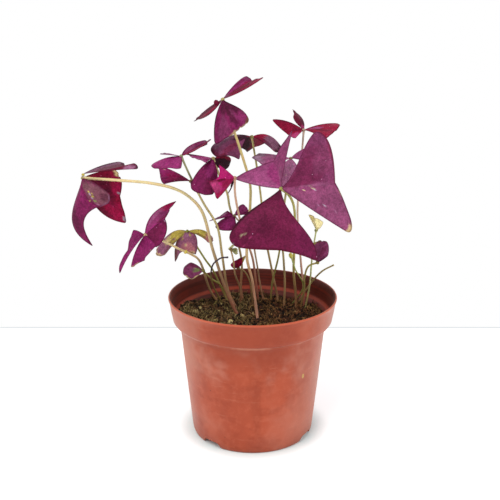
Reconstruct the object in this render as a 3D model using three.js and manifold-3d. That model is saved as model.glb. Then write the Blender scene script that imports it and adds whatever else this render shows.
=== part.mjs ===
// A purple shamrock, Oxalis triangularis, growing in a moulded nursery pot.
// Millimetres, +Z up, origin at the middle of the pot's base, front towards -Y.
import * as THREE from "three";
import { mergeVertices } from "three/addons/utils/BufferGeometryUtils.js";
import Module from "manifold-3d";

const wasm = await Module();
wasm.setup();

// ---------------------------------------------------------------- Driving dimensions

const POT_HEIGHT = 90;
const RIM_RADIUS = 52.5;
const BASE_RADIUS = 37.5;
const FLOOR_TOP = 4.6;
const FLOOR_UNDERSIDE = 3.4;
const POT_SEGMENTS = 40;

const SOIL_LEVEL = 69;
const SOIL_RINGS = 6;
const STALK_DEPTH = 6;
const HOLE_RISE = 3;

const CLEARANCE = 0.3;
const HOLE_CLEARANCE = 0.45;
const BLADE_THICKNESS = 0.7;
const HUB_RADIUS = 1.3;
const LARGE_LEAFLET = 20;
const STALK_SIDES = 6;
const STALK_STEPS = 9;

// ---------------------------------------------------------------- Solid helpers

// A closed three.js geometry as a solid, with its shared vertices merged and empty triangles left out.
function toSolid(geometry) {
  const bare = geometry.clone();
  bare.deleteAttribute("normal");
  bare.deleteAttribute("uv");
  const merged = mergeVertices(bare, 1e-4);
  const triangles = [];
  for (let i = 0; i < merged.index.count; i += 3) {
    const [a, b, c] = merged.index.array.slice(i, i + 3);
    if (a !== b && b !== c && c !== a) {
      triangles.push(a, b, c);
    }
  }
  const mesh = new wasm.Mesh({
    numProp: 3,
    vertProperties: merged.attributes.position.array,
    triVerts: new Uint32Array(triangles),
  });
  return new wasm.Manifold(mesh);
}

function toGeometry(solid) {
  const mesh = solid.getMesh();
  const geometry = new THREE.BufferGeometry();
  geometry.setAttribute("position", new THREE.BufferAttribute(mesh.vertProperties, 3));
  geometry.setIndex(new THREE.BufferAttribute(mesh.triVerts, 1));
  geometry.computeVertexNormals();
  return geometry;
}

// The largest body of a solid, so that a scrap cut loose is dropped.
function largestBody(solid) {
  return solid.decompose().reduce((best, body) => (body.volume() > best.volume() ? body : best));
}

function meshOf(name, geometry, material) {
  const mesh = new THREE.Mesh(geometry, material);
  mesh.name = name;
  return mesh;
}

const vector = ([x, y, z]) => new THREE.Vector3(x, y, z);

// ---------------------------------------------------------------- Pot

// Radius and height of each corner, from the middle of the underside round the outside to the floor.
const POT_FOOT = [
  [0, 0],
  [13, 0],
  [14.5, FLOOR_UNDERSIDE],
  [BASE_RADIUS - 1.7, FLOOR_UNDERSIDE],
  [BASE_RADIUS - 1.5, 0],
  [BASE_RADIUS - 0.2, 0],
  [BASE_RADIUS + 0.6, 0.9],
  [BASE_RADIUS + 1.1, 2.6],
];
const POT_OUTSIDE = [
  [BASE_RADIUS + 7.9, 71],
  [RIM_RADIUS - 5.9, 73],
  [RIM_RADIUS - 3.3, 74.6],
  [RIM_RADIUS - 2.5, 76.6],
  [RIM_RADIUS - 0.8, 86.5],
];
const POT_LIP = [
  [RIM_RADIUS, POT_HEIGHT - 0.7],
  [RIM_RADIUS - 0.3, POT_HEIGHT],
  [RIM_RADIUS - 0.9, POT_HEIGHT],
  [RIM_RADIUS - 1.3, POT_HEIGHT - 0.5],
];
const POT_INSIDE = [
  [RIM_RADIUS - 3.2, 79.5],
  [RIM_RADIUS - 3.9, 78.1],
  [RIM_RADIUS - 7.9, 74.8],
  [RIM_RADIUS - 8.3, 73],
  [BASE_RADIUS + 6.4, 70],
  [BASE_RADIUS + 0.1, 5.4],
  [BASE_RADIUS - 0.3, FLOOR_TOP],
  [0, FLOOR_TOP],
];

const DRAIN_HOLES = { count: 6, radius: 4, pitchRadius: 27 };
const FOOT_NOTCHES = { bearings: [-42, 62, 138, 242], height: 3.8, width: 17, slope: 3.5 };

// A direction round the pot, given in degrees from the front towards the right.
const bearing = (degrees) => THREE.MathUtils.degToRad(degrees - 90);

function drainHole(index) {
  const turn = bearing((360 / DRAIN_HOLES.count) * (index + 0.5));
  const bore = new THREE.CylinderGeometry(DRAIN_HOLES.radius, DRAIN_HOLES.radius, 4 * FLOOR_TOP, 12);
  bore.rotateX(Math.PI / 2);
  bore.translate(DRAIN_HOLES.pitchRadius * Math.cos(turn), DRAIN_HOLES.pitchRadius * Math.sin(turn), 0);
  return toSolid(bore);
}

// One drain opening through the foot ring, wider at the table than at its top.
function footNotch(degrees) {
  const { height, width, slope } = FOOT_NOTCHES;
  const outline = new THREE.Shape();
  outline.moveTo(-width / 2, -1);
  outline.lineTo(width / 2, -1);
  outline.lineTo(width / 2 - slope, height);
  outline.lineTo(-width / 2 + slope, height);
  const notch = new THREE.ExtrudeGeometry(outline, { depth: 8, bevelEnabled: false });
  notch.translate(0, 0, BASE_RADIUS - 4.5);
  notch.rotateX(Math.PI / 2);
  notch.rotateZ(bearing(degrees) + Math.PI / 2);
  return toSolid(notch);
}

function potGeometry() {
  const profile = [...POT_FOOT, ...POT_OUTSIDE, ...POT_LIP, ...POT_INSIDE];
  const points = profile.map(([radius, height]) => new THREE.Vector2(radius, height));
  const lathe = new THREE.LatheGeometry(points, POT_SEGMENTS);
  lathe.rotateX(Math.PI / 2);
  let pot = toSolid(lathe);
  for (let index = 0; index < DRAIN_HOLES.count; index += 1) {
    pot = pot.subtract(drainHole(index));
  }
  for (const degrees of FOOT_NOTCHES.bearings) {
    pot = pot.subtract(footNotch(degrees));
  }
  return toGeometry(pot);
}

// ---------------------------------------------------------------- Stalks

// A point on the line on which a stalk leaves the soil, at a height above its base.
function pointAtBase([base, next], rise) {
  const slope = vector(next).sub(vector(base));
  return vector(base).addScaledVector(slope, rise / slope.z);
}

// The curve that a stalk follows: straight out of the soil, then through its points.
function stalkCurve(points) {
  const foot = pointAtBase(points, -STALK_DEPTH);
  return new THREE.CatmullRomCurve3([foot, ...points.map(vector)], false, "centripetal");
}

// A leaf's stalk ends short of the hub, at the given gap from its knob.
function leafStalkCurve({ stalk, hub }, gap) {
  const middle = vector(hub);
  const inward = middle.clone().sub(vector(stalk[stalk.length - 1])).normalize();
  const end = middle.addScaledVector(inward, -(HUB_RADIUS + gap));
  return stalkCurve([...stalk, end.toArray()]);
}

// The radius of a tube that clears a stalk all round, flat sides included.
const clearRadius = (stalkRadius, gap) => (stalkRadius + gap) / Math.cos(Math.PI / STALK_SIDES);

function tubeGeometry(curve, radius, steps) {
  const section = new THREE.Shape();
  for (let side = 0; side < STALK_SIDES; side += 1) {
    const turn = (2 * Math.PI * side) / STALK_SIDES;
    const corner = [radius * Math.cos(turn), radius * Math.sin(turn)];
    if (side === 0) {
      section.moveTo(...corner);
    } else {
      section.lineTo(...corner);
    }
  }
  return new THREE.ExtrudeGeometry(section, { steps, bevelEnabled: false, extrudePath: curve });
}

// ---------------------------------------------------------------- Soil

// Height of the compost: it lies higher at the back left and breaks into low crumbs.
function soilHeight(x, y) {
  const slope = -0.02 * x + 0.012 * y;
  const crumbs = 0.7 * Math.sin(0.31 * x + 1.2) * Math.cos(0.27 * y) + 0.5 * Math.sin(0.53 * y - 0.4 * x);
  return SOIL_LEVEL + 0.6 + slope + crumbs;
}

// Radius of the soil against the tapering wall.
function soilRadius(height) {
  const along = (height - 5.4) / (70 - 5.4);
  return BASE_RADIUS + 0.1 + 6.3 * along - CLEARANCE - 0.1;
}

function soilGeometry(holes) {
  const bottom = FLOOR_TOP + CLEARANCE;
  const positions = [0, 0, soilHeight(0, 0)];
  const index = [];
  const addRing = (radius, heightAt) => {
    for (let spoke = 0; spoke < POT_SEGMENTS; spoke += 1) {
      const turn = (2 * Math.PI * spoke) / POT_SEGMENTS;
      const x = radius * Math.cos(turn);
      const y = radius * Math.sin(turn);
      positions.push(x, y, heightAt(x, y));
    }
  };
  for (let ring = 1; ring <= SOIL_RINGS; ring += 1) {
    addRing((soilRadius(SOIL_LEVEL) * ring) / SOIL_RINGS, soilHeight);
  }
  addRing(soilRadius(bottom + 0.6) - 0.2, () => bottom);
  const lastVertex = positions.length / 3;
  positions.push(0, 0, bottom);

  const at = (ring, spoke) => 1 + ring * POT_SEGMENTS + (spoke % POT_SEGMENTS);
  for (let spoke = 0; spoke < POT_SEGMENTS; spoke += 1) {
    index.push(0, at(0, spoke), at(0, spoke + 1));
    for (let ring = 0; ring < SOIL_RINGS; ring += 1) {
      index.push(at(ring, spoke), at(ring + 1, spoke), at(ring + 1, spoke + 1));
      index.push(at(ring, spoke), at(ring + 1, spoke + 1), at(ring, spoke + 1));
    }
    index.push(at(SOIL_RINGS, spoke), lastVertex, at(SOIL_RINGS, spoke + 1));
  }
  const heap = new THREE.BufferGeometry();
  heap.setAttribute("position", new THREE.Float32BufferAttribute(positions, 3));
  heap.setIndex(index);
  const drilled = holes.reduce((soil, hole) => soil.subtract(hole), toSolid(heap));
  return toGeometry(largestBody(drilled));
}

// The plain hole in the soil that a stalk stands in.
function stalkHole({ stalk, stalkRadius }) {
  const bottom = pointAtBase(stalk, -STALK_DEPTH - CLEARANCE);
  const top = pointAtBase(stalk, HOLE_RISE);
  const radius = clearRadius(stalkRadius, HOLE_CLEARANCE);
  return toSolid(tubeGeometry(new THREE.LineCurve3(bottom, top), radius, 1));
}

// ---------------------------------------------------------------- Leaflets

// A leaflet is a heart of two lobes, folded along its rib. Rib, left and right run from the hub to the
// notch and to the two outer corners; left is the left lobe seen from the upper side, hub at the bottom.
const PLAIN_LEAFLET = {
  bow: 2, // how far the middle of the rib stands out on the upper side, or a vector for it
  belly: 1.5, // how far each lobe's middle stands out on the upper side
  side: 2, // how far each outer side edge bulges
  edge: 0.05, // how far the far edge bulges past its chord, as a share of the length
  corner: 0.8, // how far out the rounded corner reaches, as a share of the length
  cornerFrom: 0.5, // where along the far edge the corner starts to round
};

const leaflet = (rib, left, right, form = {}) => ({ rib, left, right, ...PLAIN_LEAFLET, ...form });

// A value given once for both lobes, or as a pair for the left and the right lobe.
const ofLobe = (value, lobe) => (Array.isArray(value) ? value[lobe] : value);

const cross = (a, b) => new THREE.Vector3().crossVectors(a, b).normalize();

// The point of the leaflet at a share of the length from the hub, across from -1 (left) to 1 (right).
function leafletPoint(hub, leaf, share, across) {
  const away = Math.abs(across);
  const lobe = across < 0 ? 0 : 1;
  const rib = vector(leaf.rib);
  const left = vector(leaf.left);
  const right = vector(leaf.right);
  const outer = lobe === 0 ? left : right;
  const upper = cross(right, left);
  const lobeUpper = lobe === 0 ? cross(rib, left) : cross(right, rib);
  const bow = Array.isArray(leaf.bow) ? vector(leaf.bow) : upper.multiplyScalar(leaf.bow);

  const cornerFrom = ofLobe(leaf.cornerFrom, lobe);
  const corner = ofLobe(leaf.corner, lobe);
  let reach = 1 + ofLobe(leaf.edge, lobe) * 4 * away * (1 - away);
  if (away > cornerFrom) {
    const turned = (away - cornerFrom) / (1 - cornerFrom);
    reach *= corner + (1 - corner) * Math.sqrt(Math.max(0, 1 - turned * turned));
  }
  const length = share * reach;
  const outerLine = outer.clone().normalize();
  const bulge = rib.clone().addScaledVector(outerLine, -rib.dot(outerLine)).normalize().negate();
  return vector(hub)
    .addScaledVector(rib, length * (1 - away))
    .addScaledVector(outer, length * away)
    .addScaledVector(bulge, ofLobe(leaf.side, lobe) * 4 * length * (1 - length) * away * away)
    .addScaledVector(lobeUpper, ofLobe(leaf.belly, lobe) * 4 * away * (1 - away) * length * length)
    .addScaledVector(bow, 4 * length * (1 - length));
}

// The leaflet as a thin closed blade, split into triangles alike on its two faces.
function leafletSolid(hub, leaf) {
  const steps = vector(leaf.rib).length() > LARGE_LEAFLET ? 4 : 3;
  const columns = 2 * steps + 1;
  const points = [vector(hub)];
  for (let row = 1; row <= steps; row += 1) {
    for (let column = 0; column < columns; column += 1) {
      const step = column / steps - 1;
      const across = Math.sign(step) * Math.sin((Math.PI / 2) * Math.abs(step));
      points.push(leafletPoint(hub, leaf, row / steps, across));
    }
  }
  const at = (row, column) => 1 + row * columns + column;
  const face = [];
  for (let column = 0; column < columns - 1; column += 1) {
    face.push(0, at(0, column + 1), at(0, column));
    for (let row = 0; row < steps - 1; row += 1) {
      const [a, b] = [at(row, column), at(row, column + 1)];
      const [c, d] = [at(row + 1, column), at(row + 1, column + 1)];
      if (column < steps) {
        face.push(a, b, c, b, d, c);
      } else {
        face.push(a, b, d, a, d, c);
      }
    }
  }
  const middle = new THREE.BufferGeometry();
  middle.setAttribute("position", new THREE.BufferAttribute(
    new Float32Array(points.flatMap((point) => point.toArray())), 3));
  middle.setIndex(face);
  middle.computeVertexNormals();

  const normals = middle.getAttribute("normal");
  const faces = [1, -1].map((sign) => points.map((point, vertex) => {
    const normal = new THREE.Vector3().fromBufferAttribute(normals, vertex);
    return point.clone().addScaledVector(normal, (sign * BLADE_THICKNESS) / 2);
  }));
  const positions = [...faces[0], ...faces[1]].flatMap((point) => point.toArray());
  const under = points.length;
  const index = [...face];
  for (let i = 0; i < face.length; i += 3) {
    index.push(face[i] + under, face[i + 2] + under, face[i + 1] + under);
  }
  const border = [0];
  for (let row = 0; row < steps; row += 1) {
    border.push(at(row, 0));
  }
  for (let column = 1; column < columns; column += 1) {
    border.push(at(steps - 1, column));
  }
  for (let row = steps - 2; row >= 0; row -= 1) {
    border.push(at(row, columns - 1));
  }
  border.forEach((here, place) => {
    const next = border[(place + 1) % border.length];
    index.push(here, next, next + under, here, next + under, here + under);
  });
  const blade = new THREE.BufferGeometry();
  blade.setAttribute("position", new THREE.Float32BufferAttribute(positions, 3));
  blade.setIndex(index);
  return toSolid(blade);
}

// All leaflets of a leaf joined at its hub, cut clear of the leaf's own stalk.
function leafGeometry(leaf) {
  const knob = new THREE.SphereGeometry(HUB_RADIUS, 6, 4);
  knob.translate(...leaf.hub);
  const joined = leaf.leaflets.reduce(
    (blade, one) => blade.add(leafletSolid(leaf.hub, one)),
    toSolid(knob),
  );
  const wayRadius = clearRadius(leaf.stalkRadius, CLEARANCE);
  const stalkWay = tubeGeometry(leafStalkCurve(leaf, 0), wayRadius, STALK_STEPS);
  return toGeometry(largestBody(joined.subtract(toSolid(stalkWay))));
}

// ---------------------------------------------------------------- The plant

const PURPLE = "#8c3269";
const MAROON = "#6a2447";
const CRIMSON = "#a5194b";
const LILAC = "#a5508c";
const YELLOW_GREEN = "#a8a050";
const YELLOW = "#c9b34a";

// Each leaf's stalk starts at the soil and ends at the hub, where its leaflets meet.
const LEAVES = [
  {
    name: "broad",
    color: PURPLE,
    hub: [16, -25, 163.5],
    stalkRadius: 0.85,
    stalk: [
      [28.5, 23.5, 69], [28, 19.5, 82], [26, 10.5, 101.5], [25.5, -7, 130.5],
      [24.5, -17.5, 148.5], [23, -21, 155], [20.5, -23, 159.5],
    ],
    leaflets: [
      leaflet([-2, -18, -30], [23, -11, -40], [-33.5, -11, -29], {
        bow: 4,
        side: [2, 1.5],
        edge: [-0.02, 0.02],
        corner: [0.92, 0.82],
        cornerFrom: [0.8, 0.6],
      }),
      leaflet([31.5, 3, 3], [24.5, 15, 34], [44.5, -3, -28.5], {
        bow: 3,
        side: [1.5, 1],
        corner: [0.82, 0.84],
      }),
      leaflet([-3.5, 27, 11], [-28.5, 20, 2], [8.5, 29, 30], {
        bow: -2,
        side: [1, 0],
        edge: [0, -0.06],
        corner: 0.95,
        cornerFrom: 0.85,
      }),
    ],
  },
  {
    name: "lilac",
    color: LILAC,
    hub: [23.5, 16, 173],
    stalkRadius: 0.75,
    stalk: [[20.5, 24, 69], [21, 23, 89], [20, 21.5, 105.5], [18.5, 19.5, 126], [21, 17, 153]],
    leaflets: [
      leaflet([-23.5, -1, -0.5], [-17.5, -13, -6], [-16, 10, 2], {
        bow: 1,
        side: 1,
        edge: 0,
        corner: 0.85,
      }),
      leaflet([-4, -16, -14.5], [5, -10, -14], [-11.5, -14, -12.5]),
      leaflet([19, -4, 2.5], [15, 5, 6], [20, -13, -3], { side: 1 }),
    ],
  },
  {
    name: "crimson",
    color: CRIMSON,
    hub: [31.5, 22, 189.5],
    stalkRadius: 0.7,
    stalk: [
      [33.5, 22.5, 69], [33.5, 22.5, 81.5], [31, 22.5, 105.5], [28.5, 22, 136.5],
      [29, 22, 151.5], [30.5, 22, 174],
    ],
    leaflets: [
      leaflet([-14, 3, 2.5], [-6.5, -12, -6.5], [-20.5, 12, 6], {
        bow: 1.5,
        side: [1, 0.5],
        corner: [0.8, 0.85],
      }),
      leaflet([-2, 20, 5], [-7, 12, 12.5], [0.5, 28, 4.5], { bow: 1, side: 0.5, corner: 0.85 }),
      leaflet([19, -4, 1], [23.5, 11, 2.5], [15.5, -18, -4.5], { bow: 1, side: [0.5, 1] }),
    ],
  },
  {
    name: "tall",
    color: PURPLE,
    hub: [-17.5, -2, 211.5],
    stalkRadius: 1,
    stalk: [
      [3.5, 7.5, 69], [1, 7, 88.5], [-0.5, 4, 99.5], [-3.5, 1, 113.5], [-3, 1, 128],
      [-1.5, 2.5, 146.5], [-1.5, 2, 159.5], [-5.5, -3, 176], [-10.5, -5, 192],
    ],
    leaflets: [
      leaflet([17, 14, 9.5], [15, 26, 11.5], [24.5, -2, 12.5], {
        bow: 0.5,
        side: 0,
        edge: [0.06, -0.02],
        corner: [0.82, 0.97],
        cornerFrom: [0.4, 0.9],
      }),
      leaflet([-17, 0, -12], [-17, -14, -11.5], [-16, 18, -12.5], { bow: -1.5, side: 0, corner: 0.9 }),
      leaflet([6.5, -16, -16], [17, -10, -11], [-6.5, -8, -26], {
        bow: 2.5,
        side: [2.5, 1.5],
        edge: 0.02,
        corner: [0.88, 0.9],
        cornerFrom: 0.7,
      }),
    ],
  },
  {
    name: "drooping",
    color: LILAC,
    hub: [-0.5, 12, 187],
    stalkRadius: 0.7,
    stalk: [
      [17, 34, 69], [16.5, 33.5, 76.5], [13, 31, 94.5], [7.5, 28, 124], [5.5, 25, 144.5],
      [2.5, 24, 167], [0.5, 17, 180],
    ],
    leaflets: [
      leaflet([17.5, 4, -6], [14, 10, -1], [19.5, -8, -10], {
        bow: [0, 0, 2.5],
        side: [0.5, -1],
        edge: 0.02,
        corner: [0.8, 0.9],
      }),
      leaflet([-18, -12, -8.5], [-7, -12, -12.5], [-28.5, -2, -4], {
        bow: [0, -1, 3],
        side: [-1, 0.5],
        edge: [-0.04, 0.1],
        corner: [0.96, 0.74],
        cornerFrom: [0.9, 0.4],
      }),
      leaflet([0.5, 22, -5], [-5.5, 18, -5.5], [6.5, 18, -5.5], { bow: 1 }),
    ],
  },
  {
    name: "curled",
    color: CRIMSON,
    hub: [-10.5, -12, 167],
    stalkRadius: 0.75,
    stalk: [
      [4.5, 35, 69], [3, 32, 81], [0, 22, 107], [-4.5, 13, 123], [-8, 4, 138.5],
      [-10.5, -5, 155.5],
    ],
    leaflets: [
      leaflet([-15.5, -15, 1], [-12, -8, -12], [-10, 0, 9.5], {
        bow: 1,
        side: [0.5, 0],
        edge: [0, -0.17],
        corner: [0.9, 0.95],
        cornerFrom: [0.6, 0.85],
      }),
      leaflet([-5, 6, -7.5], [-3, 8, -10.5], [-6.5, 4, -4.5], { bow: 1, side: 0 }),
    ],
  },
  {
    name: "high_left",
    color: PURPLE,
    hub: [-43, 5, 176.5],
    stalkRadius: 0.75,
    stalk: [
      [-8.5, 23, 69], [-15.5, 21.5, 84], [-19.5, 20, 109.5], [-22.5, 19.5, 129], [-30.5, 17, 144],
      [-37, 14, 159], [-40, 9.5, 167.5],
    ],
    leaflets: [
      leaflet([14.5, 3, 5], [12, 13, 7], [19, -11, 12], {
        bow: 1,
        side: [0.5, -1.5],
        edge: [0.05, -0.1],
        corner: [0.8, 0.93],
      }),
      leaflet([-13.5, 13, -1.5], [-15.5, -3, 1], [-12, 27, -3.5], { bow: 1, side: 0.5 }),
      leaflet([-13, -10, -4], [1.5, -17, -6], [-20, 1, -5], { bow: 1, side: 1 }),
    ],
  },
  {
    name: "tucked",
    color: PURPLE,
    hub: [-38, 10, 160],
    stalkRadius: 0.65,
    stalk: [
      [-9.5, 18, 69], [-15.5, 17, 85.5], [-19, 12, 112], [-22, 9, 132], [-29.5, 9, 145.5],
      [-33.5, 9.5, 152.5],
    ],
    leaflets: [
      leaflet([-17.5, 4, 2.5], [-18.5, -6, -1], [-21.5, 14, 7], {
        bow: 1.5,
        side: [0.2, 0.6],
        corner: 0.9,
        cornerFrom: 0.7,
      }),
      leaflet([16, 8, -1], [12, 16, 1.5], [14, -2, -3.5], { bow: 1, side: 0.5 }),
      leaflet([6.5, -14, -1.5], [11.5, -10, -1], [2.5, -10, -4.5], { bow: 1, side: 0.5 }),
    ],
  },
  {
    name: "middle",
    color: PURPLE,
    hub: [-23.5, -4, 177],
    stalkRadius: 0.75,
    stalk: [
      [-5.5, 35, 69], [-7.5, 33, 81.5], [-7, 29, 102], [-10, 26, 119], [-13, 24, 134.5],
      [-14.5, 14, 144], [-15.5, 7, 153], [-18, 1, 160.5], [-20, -1.5, 166.5],
    ],
    leaflets: [
      leaflet([-12.5, 4, -1], [-5.5, -12, -1.5], [-17, 14, -1], { bow: 0.5, side: 0.5, corner: 0.85 }),
      leaflet([-4.5, -14, -18], [2.5, -10, -21.5], [-15.5, -6, -15.5], {
        bow: 3,
        side: 1,
        edge: 0.06,
        corner: 0.78,
      }),
      leaflet([9, 10, -4.5], [12, 16, -1], [6, 2, -7.5], { bow: 1, side: 0.5 }),
    ],
  },
  {
    name: "arching",
    color: PURPLE,
    hub: [-101, -6, 165.5],
    stalkRadius: 1.1,
    stalk: [
      [-7.5, 10, 69], [-14, 9, 82], [-24.5, 6, 116.5], [-31, 2.5, 143], [-38, 1, 152],
      [-46.5, -0.5, 157.5], [-60.5, -2.5, 161.5], [-77.5, -4, 163.5],
    ],
    leaflets: [
      leaflet([24, 12, 3.5], [18.5, 26, 4], [34.5, 6, 4.5], {
        bow: 0.5,
        side: [1, 0],
        edge: [0.1, 0],
        corner: [0.8, 0.93],
        cornerFrom: [0.5, 0.85],
      }),
      leaflet([19, 18, -19.5], [24.5, 10, -31.5], [17, 26, -3], {
        bow: 3,
        side: [1, 0.5],
        edge: 0,
        corner: 0.94,
        cornerFrom: 0.8,
      }),
      leaflet([10, -14, -21.5], [19, -8, -9.5], [5.5, -2, -42.5], {
        bow: [-8, -6, 0],
        side: [2, 3],
        edge: [0.06, -0.25],
        corner: [0.76, 0.97],
        cornerFrom: [0.5, 0.9],
      }),
    ],
  },
  {
    name: "low_left",
    color: MAROON,
    hub: [-65, -8, 131],
    stalkRadius: 0.8,
    stalk: [
      [-20.5, 33.5, 69], [-27.5, 28.5, 82], [-34, 14.5, 108], [-39, 9.5, 113.5],
      [-45, 4.5, 118], [-55, -3.5, 126],
    ],
    leaflets: [
      leaflet([-11.5, -2, -14], [-6, -14, -1], [-17, 4, -27.5], {
        bow: 1,
        side: 0.5,
        edge: 0,
        corner: [0.9, 0.95],
        cornerFrom: 0.8,
      }),
      leaflet([-0.5, -10, -15], [9, -14, -5], [-9.5, -6, -23], { side: [1, 1.5], corner: 0.85 }),
      leaflet([11.5, 10, 7], [18.5, 22, 15], [12.5, -2, -4.5], {
        bow: 1,
        side: [3.5, 2],
        edge: [-0.1, 0.05],
        corner: [0.97, 0.8],
        cornerFrom: [0.9, 0.5],
      }),
    ],
  },
  {
    name: "wilted",
    color: YELLOW_GREEN,
    hub: [-41, 14, 127],
    stalkRadius: 0.65,
    stalk: [[-15, 34, 69], [-22, 29, 88], [-26, 24.5, 98.5], [-30, 21.5, 105.5], [-34, 18, 113.5]],
    leaflets: [
      leaflet([-13.5, -1, -9.5], [-18.5, -4, -17], [-13, 4, -5.5], {
        bow: [0, 0, 2],
        side: 0.2,
        corner: 0.75,
        cornerFrom: 0.4,
      }),
      leaflet([1.5, -2, -12], [6.5, 0, -12], [-9, 2, -21], { bow: [-1, -1, 3], side: 0.5, edge: -0.05 }),
      leaflet([14.5, 2, -2.5], [15.5, 6, -0.5], [13.5, 0, -6], { bow: [0, 0, 1], side: 0.3 }),
    ],
  },
  {
    name: "rim",
    color: PURPLE,
    hub: [-31, 8, 103],
    stalkRadius: 0.6,
    stalk: [[-12, 30, 69], [-21, 17.5, 90.5], [-25, 13, 95], [-28.5, 9.5, 99.5]],
    leaflets: [
      leaflet([-12, 2, -3], [-9.5, -2, -9], [-10.5, 6, 3.5], {
        side: 1,
        edge: 0.1,
        corner: 0.75,
        cornerFrom: 0.4,
      }),
    ],
  },
  {
    name: "shaded",
    color: MAROON,
    hub: [-11.5, 18, 136],
    stalkRadius: 0.6,
    stalk: [[8.5, 33, 69], [5, 30, 86.5], [2.5, 26, 104], [-1.5, 21.5, 122.5]],
    leaflets: [
      leaflet([-9.5, -0.5, -1], [-14, -3, -1.5], [-5, 1, 3], {
        bow: 0.5,
        side: 0,
        corner: 0.92,
        cornerFrom: 0.8,
      }),
      leaflet([-7.5, -6, -8], [1.5, -8, -7.5], [-12.5, -1, -7], { side: 1, corner: 0.75 }),
      leaflet([8, 8, 2], [3.5, 14, 4], [10, 4, -1], { bow: 1, side: 0.5 }),
    ],
  },
  {
    name: "right",
    color: PURPLE,
    hub: [39.5, -8, 113.5],
    stalkRadius: 0.65,
    stalk: [[31, 23, 69], [33, 14, 88.5], [32.5, 4.5, 99.5], [34.5, -4, 110]],
    leaflets: [leaflet([5, 0, 13], [-3.5, 8, 12.5], [8, -4, 8.5], { side: 1, edge: 0.03 })],
  },
  {
    name: "folded",
    color: MAROON,
    hub: [-9, 10, 104],
    stalkRadius: 0.5,
    stalk: [[0.5, 31, 69], [-2, 17, 93.5], [-5.5, 12, 101.5]],
    leaflets: [leaflet([2, -4, 7], [-4, 0, 4], [6.5, -6, 10], { bow: 1, side: 0.5, corner: 0.85 })],
  },
  {
    name: "withered",
    color: YELLOW,
    hub: [39, 2, 131],
    stalkRadius: 0.6,
    stalk: [[33.5, 18.5, 69], [36.5, 13, 92.5], [37, 7.5, 109], [38, 3.5, 122.5]],
    leaflets: [
      leaflet([-1.5, -4, 8.5], [4.5, 2, 7.5], [-6, 2, 10], { bow: -2, side: 1.5, edge: 0, corner: 0.85 }),
    ],
  },
  {
    name: "sprout",
    color: CRIMSON,
    hub: [-13.5, 2, 119],
    stalkRadius: 0.6,
    stalk: [[-8, 31, 69], [-8, 23.5, 85], [-11, 10, 100], [-12, 3.5, 111.5]],
    leaflets: [
      leaflet([-1, -6, 6.5], [2, -4, 6.5], [-3.5, -4, 3], { bow: 1, side: 0.5 }),
      leaflet([4, -6, 0], [4.5, -4, -3.5], [4.5, -2, 2], { bow: 1, side: 0.5 }),
    ],
  },
];

// Stalks that have lost their leaf, and the one that carries a flower bud.
const LEAFLESS_STALKS = [
  {
    name: "bare",
    color: "#9a8f5c",
    stalkRadius: 0.65,
    stalk: [[12, 36.5, 69], [13, 28, 88], [16, 15.5, 107.5], [17.5, 9, 119], [19, 6, 126]],
  },
  {
    name: "broken",
    color: "#8d6a4a",
    stalkRadius: 0.6,
    stalk: [[28, 27.5, 69], [34.5, 26, 83], [44, 15, 100], [51, 10, 106]],
  },
  {
    name: "budded",
    color: "#8f9a52",
    stalkRadius: 0.5,
    stalk: [[23, 29.5, 69], [32.5, 16, 88.5], [26, -2.5, 108], [23.5, -8, 117]],
    bud: { radius: 1.3, length: 4.5 },
  },
  {
    name: "dried",
    color: "#4a2f28",
    stalkRadius: 0.55,
    stalk: [
      [-17.5, 29, 69], [-24.5, 14, 89.5], [-26, 5, 101.5], [-24.5, 0, 109.5], [-21.5, -3, 113.5],
      [-19, -5, 115.5], [-15, -7, 116.5],
    ],
  },
];

function leaflessStalkGeometry({ stalk, stalkRadius, bud }) {
  const curve = stalkCurve(stalk);
  const tube = tubeGeometry(curve, stalkRadius, STALK_STEPS);
  if (!bud) {
    return tube;
  }
  const tip = new THREE.SphereGeometry(bud.radius, 8, 6);
  tip.scale(1, bud.length / (2 * bud.radius), 1);
  const turn = new THREE.Quaternion().setFromUnitVectors(new THREE.Vector3(0, 1, 0), curve.getTangent(1));
  tip.applyQuaternion(turn);
  tip.translate(...stalk[stalk.length - 1]);
  return toGeometry(toSolid(tube).add(toSolid(tip)));
}

// ---------------------------------------------------------------- Assembly

const POT_PLASTIC = new THREE.MeshStandardMaterial({ color: "#af5a41", roughness: 0.55 });
const COMPOST = new THREE.MeshStandardMaterial({ color: "#3a2c20", roughness: 0.95 });
const STALK_SKIN = new THREE.MeshStandardMaterial({ color: "#a2875a", roughness: 0.5 });
const bladeSkin = (color) => new THREE.MeshStandardMaterial({ color, roughness: 0.6 });

const plant = new THREE.Group();
plant.add(meshOf("pot", potGeometry(), POT_PLASTIC));
plant.add(meshOf("soil", soilGeometry([...LEAVES, ...LEAFLESS_STALKS].map(stalkHole)), COMPOST));
for (const leaf of LEAVES) {
  const stalk = tubeGeometry(leafStalkCurve(leaf, CLEARANCE), leaf.stalkRadius, STALK_STEPS);
  plant.add(meshOf(`stalk_${leaf.name}`, stalk, STALK_SKIN));
  plant.add(meshOf(`leaf_${leaf.name}`, leafGeometry(leaf), bladeSkin(leaf.color)));
}
for (const stalk of LEAFLESS_STALKS) {
  plant.add(meshOf(`stalk_${stalk.name}`, leaflessStalkGeometry(stalk), bladeSkin(stalk.color)));
}

export default plant;
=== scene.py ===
import math

import bmesh
import bpy
import numpy as np
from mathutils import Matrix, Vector, noise


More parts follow.
